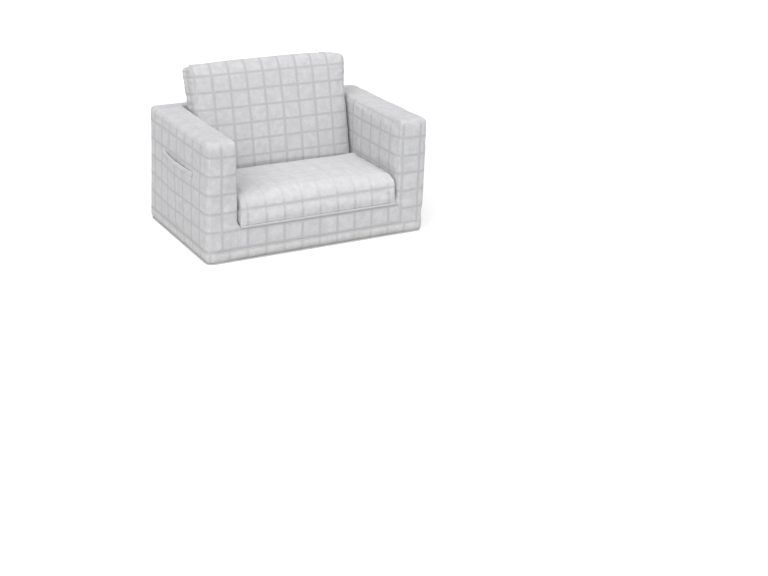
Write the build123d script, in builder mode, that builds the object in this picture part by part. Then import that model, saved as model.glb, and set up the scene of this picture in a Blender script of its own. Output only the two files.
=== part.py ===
from build123d import *
from math import cos, radians, sin, tan
import os

os.makedirs("parts", exist_ok=True)

# A child's flip open sofa: a U of foam arms and back round a fixed base pad, a seat pad that flips
# forward over the base's front edge, and a backrest pad linked to the seat pad's rear edge.
# Millimetres, +Z up, front towards -Y. The origin is the middle of the underside.

# Folded shell: arms, back and base under one cover
shell_width = 660.0
shell_depth = 424.0
arm_height = 332.0
arm_width = 92.0
back_width = 46.0
outer_round = 24.0
inner_round = 16.0
base_recess = 2.0
base_front_round = 6.0
base_tuck = 9.0

# Mattress: base, seat pad and backrest pad lie in line at this thickness when open
mattress_thickness = 94.0
pad_side_gap = 2.0
cover_thickness = 1.8
foam_clearance = 0.6
block_gap = 0.3

# Seat pad, measured from the hinge line at the base's front top edge
body_clearance = 0.3
fold_gap = 0.5
seat_gap = 1.0
seat_edge_height = 82.0
seat_crown = 12.0
seat_front_round = 36.0
seat_rear_round = 14.0
seat_low_round = 12.0

# Backrest pad, measured from its pivot, with v towards the sofa's front
backrest_lean = 12.5
backrest_reach = 311.0
backrest_edge_thickness = 84.0
backrest_crown = 9.0
backrest_wall_clearance = 2.1
backrest_lead = 30.0
backrest_front_round = 22.0
backrest_rear_round = 18.0

# Soft shaping shared by the two loose pads
side_round = 14.0
side_angles = (0.0, 25.0, 50.0, 75.0)
crown_places = (0.0, 0.3, 0.55, 0.8)
crown_fall_share = 0.8

# Fabric hinge between seat pad and backrest pad
flap_thickness = 1.0
flap_clearance = 0.5
flap_seam_reach = 7.0
flap_side_inset = 16.0

# Underside panel, bottom band and seam piping
panel_thickness = 2.0
panel_inset = 4.0
seam_height = 31.0
piping_diameter = 3.0
piping_sink = 0.7
piping_round = 1.4
piping_clearance = 0.2

# Side pocket on the left arm
pocket_front = 102.0
pocket_rear = 307.0
pocket_low = 45.0
pocket_rear_mouth = 238.0
pocket_front_mouth = 222.0
pocket_sag = 8.0
pocket_bulge = 12.0
pocket_middle_share = 0.55
pocket_seam_bulge = 0.1
pocket_thickness = 1.2
pocket_clearance = 0.3
binding_width = 11.0
binding_thickness = 0.8
binding_clearance = 0.1

# Closing zips: a shell zip low on the back and a mattress zip on the backrest's far end
shell_zip_margin = 28.0
shell_zip_height = 66.0
mattress_zip_margin = 46.0
mattress_zip_offset = 12.0
tape_width = 22.0
tape_thickness = 0.8
tape_overrun = 8.0
tape_clearance = 0.1
coil_width = 5.0
coil_core_width = 2.2
coil_core_height = 1.2
coil_stand = 0.4
coil_pitch = 5.0
coil_tooth_share = 0.55
slider_length = 9.0
slider_wall = 1.1
slider_plate = 1.2
slider_clearance = 0.3
slider_round = 0.9
bridge_length = 5.0
bridge_width = 2.0
bridge_height = 1.6
bridge_wall = 0.7
slot_clearance = 0.5
garage_length = 17.0
garage_wall = 1.0
garage_clearance = 0.5
garage_round = 1.5
groove_clearance = 0.4

# One length by which every cutting solid runs past what it cuts
overrun = 5.0

# Places worked out from the sizes above
front_y = -shell_depth / 2
back_y = shell_depth / 2
well_half = shell_width / 2 - arm_width
well_back_y = back_y - back_width
foam_inset = cover_thickness + foam_clearance
shell_low = panel_thickness + body_clearance
hinge_z = mattress_thickness + body_clearance / 2
pad_half = well_half - pad_side_gap
shell_zip_length = 2 * (well_half - shell_zip_margin)
mattress_zip_length = 2 * (pad_half - mattress_zip_margin)

# The backrest leans back until its rear face nearly meets the top of the wall behind it
lean = radians(backrest_lean)
backrest_half = backrest_edge_thickness / 2
pivot_z = hinge_z + body_clearance / 2 + backrest_half
lean_run = (arm_height - inner_round - pivot_z) * tan(lean) + backrest_half / cos(lean)
pivot_y = well_back_y - backrest_wall_clearance - lean_run
backrest_pivot_reach = pivot_y - front_y
backrest_root = backrest_half - flap_thickness - flap_clearance
seat_length = backrest_pivot_reach - backrest_root - seat_gap
up_the_back = Vector(0, sin(lean), cos(lean))


def faces_well(edge):
    """True for an edge that borders the well between the arms."""
    return abs(edge.center().X) < well_half + inner_round


def shell_form(inset, low):
    """Arms, back and base as one block, each face set in by the same amount, from the height low up."""
    well_wide = 2 * (well_half + inset)
    inner_back = well_back_y + inset
    base_top = mattress_thickness - inset
    base_front = front_y + base_recess + inset
    front_round = base_front_round - inset
    with BuildPart() as form:
        with BuildSketch(Plane.XY.offset(low)):
            Rectangle(shell_width - 2 * inset, shell_depth - 2 * inset)
            with Locations((0, inner_back - shell_depth / 2)):
                Rectangle(well_wide, shell_depth, mode=Mode.SUBTRACT)
        extrude(amount=arm_height - inset - low)
        rim = form.faces().sort_by(Axis.Z)[-1].edges()
        back_rim = rim.filter_by(Axis.X).sort_by(Axis.Y)
        arm_front_rim = back_rim[:2]
        back_inner_rim = back_rim[2]
        back_outer_rim = back_rim[3]
        arm_rims = rim.filter_by(Axis.Y).sort_by(Axis.X)
        uprights = form.edges().filter_by(Axis.Z)
        outer_uprights = uprights.filter_by(lambda e: not faces_well(e))
        outer_rim = arm_front_rim + [back_outer_rim, arm_rims[0], arm_rims[3]]
        fillet(outer_rim + outer_uprights, radius=outer_round - inset)
        top_lines = form.edges().filter_by(GeomType.LINE).filter_by(faces_well)
        inner_rim = top_lines.filter_by(lambda e: e.center().Z > arm_height - inner_round)
        inner_uprights = form.edges().filter_by(Axis.Z).filter_by(faces_well).sort_by(Axis.Y)[:2]
        fillet(inner_rim + inner_uprights, radius=inner_round - inset)
        with BuildSketch(Plane.YZ.offset(-well_wide / 2 - base_tuck)):
            with BuildLine():
                Polyline(
                    (base_front, base_top - front_round),
                    (base_front, low),
                    (inner_back + base_tuck, low),
                    (inner_back + base_tuck, base_top),
                    (base_front + front_round, base_top),
                )
                TangentArc(
                    (base_front, base_top - front_round),
                    (base_front + front_round, base_top),
                    tangent=(0, 1),
                )
            make_face()
        extrude(amount=well_wide + 2 * base_tuck)
    return form.part


def across_stations(half):
    """Places across a pad, each with its edge tuck and its share of the crown."""
    flat = half - side_round
    right = []
    for share in crown_places:
        right.append((flat * share, 0, 1 - crown_fall_share * share**2))
    for angle in side_angles:
        turn = radians(angle)
        edge_crown = (1 - crown_fall_share) * cos(turn)
        right.append((flat + side_round * sin(turn), side_round * (1 - cos(turn)), edge_crown))
    left = [(-x, tuck, crown) for x, tuck, crown in reversed(right[1:])]
    return left + right


def seat_form(inset):
    """Seat pad as a loft across the sofa: flat below, crowned above, its sides drawn in."""
    half = pad_half - inset
    low_round = seat_low_round - inset
    rear_round = seat_rear_round - inset
    with BuildPart() as form:
        for x, tuck, crown_share in across_stations(half):
            front = fold_gap + inset + tuck
            rear = seat_length - inset - tuck
            low = body_clearance / 2 + inset + tuck
            high = body_clearance / 2 + seat_edge_height - inset - tuck
            front_round = seat_front_round - inset - tuck
            crown_top = ((front + front_round + rear - rear_round) / 2, high + seat_crown * crown_share)
            face_plane = Plane(origin=(x, front_y, hinge_z), x_dir=(0, 1, 0), z_dir=(1, 0, 0))
            with BuildSketch(face_plane):
                with BuildLine():
                    Line((front + low_round, low), (rear - low_round, low))
                    TangentArc((rear - low_round, low), (rear, low + low_round), tangent=(1, 0))
                    Line((rear, low + low_round), (rear, high - rear_round))
                    TangentArc((rear, high - rear_round), (rear - rear_round, high), tangent=(0, 1))
                    ThreePointArc((rear - rear_round, high), crown_top, (front + front_round, high))
                    TangentArc((front, high - front_round), (front + front_round, high), tangent=(0, 1))
                    Line((front, high - front_round), (front, low + low_round))
                    TangentArc((front + low_round, low), (front, low + low_round), tangent=(-1, 0))
                make_face()
        loft(ruled=True)
    return form.part


def backrest_plane(x):
    """Plane across the backrest at x: u runs up the pad from the pivot, v runs out of its front."""
    return Plane(origin=(x, pivot_y, pivot_z), x_dir=up_the_back, z_dir=(1, 0, 0))


def backrest_form(inset):
    """Backrest pad as a loft across the sofa: round hinge end, flat rear face, crowned front."""
    half = pad_half - inset
    thick = backrest_half - inset
    front_round = backrest_front_round - inset
    rear_round = backrest_rear_round - inset
    with BuildPart() as form:
        for x, tuck, crown_share in across_stations(half):
            face = thick - tuck
            root = face - flap_thickness - flap_clearance
            top = backrest_reach - inset - tuck
            crown_top = ((backrest_lead + top - front_round) / 2, face + backrest_crown * crown_share)
            with BuildSketch(backrest_plane(x)):
                with BuildLine():
                    Line((0, -face), (0, -root))
                    TangentArc((0, -root), (-root, 0), tangent=(-1, 0))
                    TangentArc((0, root), (-root, 0), tangent=(-1, 0))
                    Line((0, root), (backrest_lead, face))
                    ThreePointArc((backrest_lead, face), crown_top, (top - front_round, face))
                    TangentArc((top - front_round, face), (top, face - front_round), tangent=(1, 0))
                    Line((top, face - front_round), (top, rear_round - face))
                    TangentArc((top - rear_round, -face), (top, rear_round - face), tangent=(1, 0))
                    Line((top - rear_round, -face), (0, -face))
                make_face()
        loft(ruled=True)
    return form.part


def pocket_section(height, bulge, depth_in, depth_out):
    """One level slice of the pocket's panel: a thin crescent against the arm's outer face."""
    inner_x = -shell_width / 2 - pocket_clearance - depth_in
    outer_x = -shell_width / 2 - pocket_clearance - depth_out
    middle_y = front_y + (pocket_front + pocket_rear) / 2
    front = front_y + pocket_front
    rear = front_y + pocket_rear
    with BuildSketch(Plane.XY.offset(height)) as slice_sketch:
        with BuildLine():
            ThreePointArc((inner_x, front), (inner_x - bulge, middle_y), (inner_x, rear))
            Line((inner_x, rear), (outer_x, rear))
            ThreePointArc((outer_x, rear), (outer_x - bulge, middle_y), (outer_x, front))
            Line((outer_x, front), (inner_x, front))
        make_face()
    return slice_sketch.sketch


def pocket_form(depth_in, depth_out):
    """Pocket panel from its bottom seam to above its mouth, between two depths off the arm."""
    top = pocket_rear_mouth + overrun
    middle = pocket_low + pocket_middle_share * (top - pocket_low)
    with BuildPart() as form:
        add(pocket_section(pocket_low, pocket_seam_bulge, depth_in, depth_out))
        add(pocket_section(middle, pocket_middle_share * pocket_bulge, depth_in, depth_out))
        add(pocket_section(top, pocket_bulge, depth_in, depth_out))
        loft()
    return form.part


def mouth_cut(drop):
    """Everything above the pocket's sagging mouth line, lowered by drop."""
    front = front_y + pocket_front - overrun
    rear = front_y + pocket_rear + overrun
    front_z = pocket_front_mouth - drop
    rear_z = pocket_rear_mouth - drop
    sag_z = (front_z + rear_z) / 2 - pocket_sag
    ceiling = pocket_rear_mouth + 2 * overrun
    with BuildPart() as cut:
        with BuildSketch(Plane.YZ.offset(-shell_width / 2 + overrun)):
            with BuildLine():
                ThreePointArc((front, front_z), ((front + rear) / 2, sag_z), (rear, rear_z))
                Polyline((rear, rear_z), (rear, ceiling), (front, ceiling), (front, front_z))
            make_face()
        extrude(amount=-2 * (overrun + pocket_bulge + pocket_thickness))
    return cut.part


def zip_slot(plane, length):
    """Slot through a cover, with the groove that the zip's tape needs in the foam behind it."""
    slot_wide = coil_width + 2 * (slider_clearance + slider_wall + slot_clearance)
    groove_deep = cover_thickness + tape_clearance + tape_thickness + groove_clearance
    groove_long = length + 2 * (tape_overrun + groove_clearance)
    with BuildPart(plane) as slot:
        Box(length, slot_wide, 2 * overrun)
        with Locations((0, 0, -cover_thickness)):
            Box(
                groove_long,
                tape_width + 2 * groove_clearance,
                groove_deep - cover_thickness,
                align=(Align.CENTER, Align.CENTER, Align.MAX),
            )
    return slot.part


def make_zip(prefix, plane, length):
    """Tape, coil, slider and slider garage of one closed zip; plane lies on the cover, z outwards."""
    tape_top = -cover_thickness - tape_clearance
    coil_top = coil_stand
    slider_low = tape_top + slider_clearance
    channel_top = coil_top + slider_clearance
    slider_top = channel_top + slider_plate
    slider_wide = coil_width + 2 * (slider_clearance + slider_wall)
    slider_x = (length - slider_length) / 2 - slider_clearance

    with BuildPart(plane) as tape:
        with Locations((0, 0, tape_top)):
            Box(
                length + 2 * tape_overrun,
                tape_width,
                tape_thickness,
                align=(Align.CENTER, Align.CENTER, Align.MAX),
            )
    tape.part.label = prefix + "_zip_tape"
    export_step(tape.part, "parts/" + tape.part.label + ".step")

    tooth_count = int(length / coil_pitch)
    with BuildPart(plane) as coil:
        with Locations((0, 0, tape_top)):
            Box(
                tooth_count * coil_pitch,
                coil_core_width,
                coil_core_height,
                align=(Align.CENTER, Align.CENTER, Align.MIN),
            )
            with GridLocations(coil_pitch, 0, tooth_count, 1):
                Box(
                    coil_pitch * coil_tooth_share,
                    coil_width,
                    coil_top - tape_top,
                    align=(Align.CENTER, Align.CENTER, Align.MIN),
                )
    coil.part.label = prefix + "_zip_coil"
    export_step(coil.part, "parts/" + coil.part.label + ".step")

    with BuildPart(plane) as slider:
        with Locations((slider_x, 0, slider_low)):
            Box(
                slider_length,
                slider_wide,
                slider_top - slider_low,
                align=(Align.CENTER, Align.CENTER, Align.MIN),
            )
            fillet(slider.edges().group_by(Axis.X)[0] + slider.edges().group_by(Axis.X)[-1], slider_round / 2)
            Box(
                slider_length + overrun,
                coil_width + 2 * slider_clearance,
                channel_top - slider_low,
                align=(Align.CENTER, Align.CENTER, Align.MIN),
                mode=Mode.SUBTRACT,
            )
        with Locations((slider_x, 0, slider_top)):
            Box(bridge_length, bridge_width, bridge_height, align=(Align.CENTER, Align.CENTER, Align.MIN))
            Box(
                bridge_length - 2 * bridge_wall,
                bridge_width + overrun,
                bridge_height - bridge_wall,
                align=(Align.CENTER, Align.CENTER, Align.MIN),
                mode=Mode.SUBTRACT,
            )
    slider.part.label = prefix + "_zip_slider"
    export_step(slider.part, "parts/" + slider.part.label + ".step")

    room_wide = slider_wide + 2 * garage_clearance
    room_high = slider_top + bridge_height + garage_clearance
    garage_x = length / 2 - garage_length / 2 + garage_wall + garage_clearance
    with BuildPart(plane) as garage:
        with Locations((garage_x, 0, tape_clearance)):
            Box(
                garage_length,
                room_wide + 2 * garage_wall,
                room_high + garage_wall - tape_clearance,
                align=(Align.CENTER, Align.CENTER, Align.MIN),
            )
            fillet(garage.edges().filter_by(GeomType.LINE), garage_round / 2)
        with Locations((garage_x - garage_wall, 0, -overrun)):
            Box(
                garage_length,
                room_wide,
                room_high + overrun,
                align=(Align.CENTER, Align.CENTER, Align.MIN),
                mode=Mode.SUBTRACT,
            )
    garage.part.label = prefix + "_zip_garage"
    export_step(garage.part, "parts/" + garage.part.label + ".step")


# Zips: one low on the back for the shell, one across the backrest's far end for the mattress sleeve
shell_zip_plane = Plane(origin=(0, back_y, shell_zip_height), x_dir=(-1, 0, 0), z_dir=(0, 1, 0))
mattress_zip_origin = backrest_plane(0).from_local_coords((backrest_reach, -mattress_zip_offset, 0))
mattress_zip_plane = Plane(origin=mattress_zip_origin, x_dir=(1, 0, 0), z_dir=up_the_back)
make_zip("shell", shell_zip_plane, shell_zip_length)
make_zip("mattress", mattress_zip_plane, mattress_zip_length)
shell_slot = zip_slot(shell_zip_plane, shell_zip_length)
mattress_slot = zip_slot(mattress_zip_plane, mattress_zip_length)

# Sewn covers of the shell: the main cover above the seam, a band below it
shell_outside = shell_form(0, shell_low)
shell_inside = shell_form(cover_thickness, -overrun)
seam_gap = piping_diameter / 2 + piping_clearance
with BuildPart() as shell_cover:
    add(shell_outside)
    add(shell_inside, mode=Mode.SUBTRACT)
    add(shell_slot, mode=Mode.SUBTRACT)
    split(bisect_by=Plane.XY.offset(seam_height + seam_gap), keep=Keep.TOP)
shell_cover.part.label = "shell_cover"
export_step(shell_cover.part, "parts/shell_cover.step")

with BuildPart() as bottom_band:
    add(shell_outside)
    add(shell_inside, mode=Mode.SUBTRACT)
    split(bisect_by=Plane.XY.offset(seam_height - seam_gap), keep=Keep.BOTTOM)
bottom_band.part.label = "bottom_band"
export_step(bottom_band.part, "parts/bottom_band.step")

# Piping cord sewn into the seam between cover and band, standing a little proud of them
piping_out = piping_diameter / 2 - piping_sink
piping_in = piping_diameter / 2 + piping_sink
with BuildPart() as seam_piping:
    with BuildSketch(Plane.XY.offset(seam_height - piping_diameter / 2)):
        RectangleRounded(
            shell_width + 2 * piping_out, shell_depth + 2 * piping_out, outer_round + piping_out
        )
        RectangleRounded(
            shell_width - 2 * piping_in,
            shell_depth - 2 * piping_in,
            outer_round - piping_in,
            mode=Mode.SUBTRACT,
        )
    extrude(amount=piping_diameter)
    piping_faces = seam_piping.faces().sort_by(Axis.Z)
    fillet(piping_faces[0].edges() + piping_faces[-1].edges(), radius=piping_round)
seam_piping.part.label = "seam_piping"
export_step(seam_piping.part, "parts/seam_piping.step")

# Grippy panel sewn across the underside
with BuildPart() as bottom_panel:
    with BuildSketch():
        RectangleRounded(
            shell_width - 2 * panel_inset, shell_depth - 2 * panel_inset, outer_round - panel_inset
        )
    extrude(amount=panel_thickness)
bottom_panel.part.label = "bottom_panel"
export_step(bottom_panel.part, "parts/bottom_panel.step")

# Foam blocks inside the shell, cut from one form so that they fill the cover
foam_fill = shell_form(foam_inset, shell_low)
arm_cut = well_half + foam_inset
with BuildPart() as left_arm_foam:
    add(foam_fill)
    split(bisect_by=Plane.YZ.offset(-arm_cut - block_gap / 2), keep=Keep.BOTTOM)
left_arm_foam.part.label = "left_arm_foam"
export_step(left_arm_foam.part, "parts/left_arm_foam.step")

with BuildPart() as right_arm_foam:
    add(foam_fill)
    split(bisect_by=Plane.YZ.offset(arm_cut + block_gap / 2), keep=Keep.TOP)
right_arm_foam.part.label = "right_arm_foam"
export_step(right_arm_foam.part, "parts/right_arm_foam.step")

with BuildPart() as middle_fill:
    add(foam_fill)
    add(shell_slot, mode=Mode.SUBTRACT)
    split(bisect_by=Plane.YZ.offset(-arm_cut + block_gap / 2), keep=Keep.TOP)
    split(bisect_by=Plane.YZ.offset(arm_cut - block_gap / 2), keep=Keep.BOTTOM)

back_cut = Plane(origin=(0, well_back_y + foam_inset, 0), z_dir=(0, 1, 0))
with BuildPart() as back_foam:
    add(middle_fill.part)
    split(bisect_by=back_cut.offset(block_gap / 2), keep=Keep.TOP)
back_foam.part.label = "back_foam"
export_step(back_foam.part, "parts/back_foam.step")

with BuildPart() as base_foam:
    add(middle_fill.part)
    split(bisect_by=back_cut.offset(-block_gap / 2), keep=Keep.BOTTOM)
base_foam.part.label = "base_foam"
export_step(base_foam.part, "parts/base_foam.step")

# Patch pocket on the left arm, with its bound mouth
with BuildPart() as side_pocket:
    add(pocket_form(0, pocket_thickness))
    add(mouth_cut(0), mode=Mode.SUBTRACT)
side_pocket.part.label = "side_pocket"
export_step(side_pocket.part, "parts/side_pocket.step")

binding_in = pocket_thickness + binding_clearance
with BuildPart() as pocket_binding:
    add(pocket_form(binding_in, binding_in + binding_thickness))
    add(mouth_cut(0), mode=Mode.SUBTRACT)
    add(mouth_cut(binding_width), mode=Mode.INTERSECT)
pocket_binding.part.label = "pocket_binding"
export_step(pocket_binding.part, "parts/pocket_binding.step")

# Seat pad: foam in its part of the mattress sleeve
with BuildPart() as seat_cover:
    add(seat_form(0))
    add(seat_form(cover_thickness), mode=Mode.SUBTRACT)
seat_cover.part.label = "seat_cover"
export_step(seat_cover.part, "parts/seat_cover.step")

seat_foam = seat_form(foam_inset)
seat_foam.label = "seat_foam"
export_step(seat_foam, "parts/seat_foam.step")

# Fabric hinge: sewn under the seat pad's rear edge, it reaches below the backrest's round end
with BuildPart() as hinge_flap:
    with BuildSketch(Plane.XY.offset(hinge_z + body_clearance / 2)):
        with Locations((0, front_y + (seat_length - flap_seam_reach + backrest_pivot_reach) / 2)):
            Rectangle(
                2 * (pad_half - flap_side_inset),
                backrest_pivot_reach - seat_length + flap_seam_reach - body_clearance,
            )
    extrude(amount=flap_thickness)
hinge_flap.part.label = "hinge_flap"
export_step(hinge_flap.part, "parts/hinge_flap.step")

# Backrest pad: foam in the far part of the sleeve, closed by the mattress zip
with BuildPart() as backrest_cover:
    add(backrest_form(0))
    add(backrest_form(cover_thickness), mode=Mode.SUBTRACT)
    add(mattress_slot, mode=Mode.SUBTRACT)
backrest_cover.part.label = "backrest_cover"
export_step(backrest_cover.part, "parts/backrest_cover.step")

with BuildPart() as backrest_foam:
    add(backrest_form(foam_inset))
    add(mattress_slot, mode=Mode.SUBTRACT)
backrest_foam.part.label = "backrest_foam"
export_step(backrest_foam.part, "parts/backrest_foam.step")
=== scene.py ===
"""Looks of a child's flip open sofa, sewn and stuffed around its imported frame.

Lengths are in metres, +Z is up and the sofa's front looks towards -Y.
"""

import logging
import math
from dataclasses import dataclass, field, replace
from enum import Enum
from typing import Any, Callable, Iterable, Sequence

import bmesh
import bpy
import numpy as np
from mathutils import Matrix, Vector, noise
from mathutils.bvhtree import BVHTree
from mathutils.kdtree import KDTree


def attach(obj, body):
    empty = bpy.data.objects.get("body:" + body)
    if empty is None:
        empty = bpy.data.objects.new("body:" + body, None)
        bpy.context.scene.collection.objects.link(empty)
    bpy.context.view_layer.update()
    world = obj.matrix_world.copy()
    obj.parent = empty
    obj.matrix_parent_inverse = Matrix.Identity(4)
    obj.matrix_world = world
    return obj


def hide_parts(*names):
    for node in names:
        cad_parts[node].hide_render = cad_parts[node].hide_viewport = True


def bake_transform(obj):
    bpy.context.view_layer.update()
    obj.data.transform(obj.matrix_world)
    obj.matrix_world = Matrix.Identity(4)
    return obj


logging.basicConfig(level=logging.INFO, format="%(message)s")
LOG = logging.getLogger("sofa")

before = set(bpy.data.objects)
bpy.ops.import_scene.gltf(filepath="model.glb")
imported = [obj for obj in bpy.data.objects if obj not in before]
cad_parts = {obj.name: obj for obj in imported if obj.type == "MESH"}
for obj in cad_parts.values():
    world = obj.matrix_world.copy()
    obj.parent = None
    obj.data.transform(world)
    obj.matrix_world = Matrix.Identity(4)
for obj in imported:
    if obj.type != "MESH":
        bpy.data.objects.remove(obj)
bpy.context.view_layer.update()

Point = tuple[float, float, float]
EdgeTest = Callable[[Vector, Vector], bool]
CLOTH = "cloth_place"
FACING = "cloth_facing"
# Painted glare: how far a point's check lines are painted washed out, and its ground painted lighter, where
# light falls on it.
GLARE = "cloth_fade"
TOUCH = 1e-5
SEAT_LINES = (-0.0012, -0.010, 0.088)
SHELL_STRETCH = (1.0, 1.0, 0.95)


class Socket:
    """One output of a shader node, on which sums can be written.

    Args:
        tree: the node tree that new nodes go into.
        link: the output socket that holds the value.
    """

    def __init__(self, tree: bpy.types.NodeTree, link: bpy.types.NodeSocket) -> None:
        self.tree = tree
        self.link = link

    def sum(self, operation: str, *values: Any) -> "Socket":
        """Adds one Math node on some values, and returns its result."""
        node = self.tree.nodes.new("ShaderNodeMath")
        node.operation = operation
        for socket, value in zip(node.inputs, values):
            if isinstance(value, Socket):
                self.tree.links.new(value.link, socket)
            else:
                socket.default_value = value
        return Socket(self.tree, node.outputs[0])

    def __add__(self, other: Any) -> "Socket":
        """Sum."""
        return self.sum("ADD", self, other)

    def __sub__(self, other: Any) -> "Socket":
        """Difference."""
        return self.sum("SUBTRACT", self, other)

    def __rsub__(self, other: Any) -> "Socket":
        """Difference from a number on the left."""
        return self.sum("SUBTRACT", other, self)

    def __mul__(self, other: Any) -> "Socket":
        """Product."""
        return self.sum("MULTIPLY", self, other)

    __radd__ = __add__
    __rmul__ = __mul__

    def most(self, other: Any) -> "Socket":
        """The larger of two values."""
        return self.sum("MAXIMUM", self, other)

    def size(self) -> "Socket":
        """The value without its sign."""
        return self.sum("ABSOLUTE", self)

    def root(self) -> "Socket":
        """The square root."""
        return self.sum("SQRT", self)

    def from_line(self, spacing: float) -> "Socket":
        """Distance to the nearest multiple of spacing."""
        return self.sum("PINGPONG", self, spacing / 2)


class Weaver:
    """Builds the nodes of one material or of the world.

    Args:
        owner: the material or the world.
    """

    def __init__(self, owner: bpy.types.Material | bpy.types.World) -> None:
        owner.use_nodes = True
        self.owner = owner
        self.tree = owner.node_tree
        self.tree.nodes.clear()

    def node(self, kind: str, settings: dict[str, Any] | None = None, **sockets: Any) -> bpy.types.Node:
        """Adds one node.

        Args:
            kind: the node's type after the word ShaderNode.
            settings: the node's own settings.
            sockets: values or links of its sockets, with spaces written as underscores.

        Returns:
            The new node.
        """
        made = self.tree.nodes.new("ShaderNode" + kind)
        for key, value in (settings or {}).items():
            setattr(made, key, value)
        names = {socket.identifier.replace(" ", "_"): socket for socket in made.inputs}
        shown = [socket for socket in reversed(made.inputs) if socket.enabled]
        names.update({socket.name.replace(" ", "_"): socket for socket in shown})
        for key, value in sockets.items():
            if isinstance(value, Socket):
                self.tree.links.new(value.link, names[key])
            else:
                names[key].default_value = value
        return made

    def out(self, node: bpy.types.Node, name: str | int = 0) -> Socket:
        """One output of a node as a value for sums."""
        return Socket(self.tree, node.outputs[name])

    def split(self, vector: Socket) -> list[Socket]:
        """The three parts of a vector."""
        parts = self.node("SeparateXYZ", Vector=vector)
        return [self.out(parts, index) for index in range(3)]

    def attribute(self, name: str, kind: str = "Vector") -> Socket:
        """A value that is stored on the piece's points."""
        return self.out(self.node("Attribute", {"attribute_name": name}), kind)

    def place(self) -> Socket:
        """The point's place on the piece."""
        return self.out(self.node("TexCoord"), "Object")

    def scaled(self, vector: Socket, factors: Point) -> Socket:
        """A vector with each part multiplied by its own factor."""
        return self.out(self.node("Mapping", Vector=vector, Scale=factors), "Vector")

    def grain(self, vector: Socket, scale: float, detail: float = 3.0, roughness: float = 0.5) -> Socket:
        """Noise from 0 to 1 over a vector."""
        made = self.node("TexNoise", Vector=vector, Scale=scale, Detail=detail, Roughness=roughness)
        return self.out(made)

    def ease(self, value: Socket, low: float, high: float, start: float = 0.0, end: float = 1.0) -> Socket:
        """A smooth step between two values."""
        made = self.node(
            "MapRange", {"interpolation_type": "SMOOTHSTEP"},
            Value=value, From_Min=low, From_Max=high, To_Min=start, To_Max=end,
        )
        return self.out(made)

    def mix(self, share: Any, first: Any, second: Any) -> Socket:
        """Two colours mixed by a share from 0 to 1."""
        made = self.node("Mix", {"data_type": "RGBA"}, Factor_Float=share, A_Color=first, B_Color=second)
        return self.out(made, 2)

    def bump(self, height: Socket, distance: float, strength: float) -> Socket:
        """A bumped normal."""
        return self.out(self.node("Bump", Height=height, Distance=distance, Strength=strength))

    def finish(self, **sockets: Any) -> bpy.types.Material:
        """Ends the material with a Principled shader that takes these sockets."""
        shader = self.node("BsdfPrincipled", None, **sockets)
        self.node("OutputMaterial", Surface=self.out(shader))
        return self.owner


def new_material(name: str) -> Weaver:
    """An empty material to weave."""
    return Weaver(bpy.data.materials.new(name))


def grey(value: float) -> tuple[float, float, float, float]:
    """A grey of one linear value."""
    return (value, value, value, 1.0)


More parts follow.
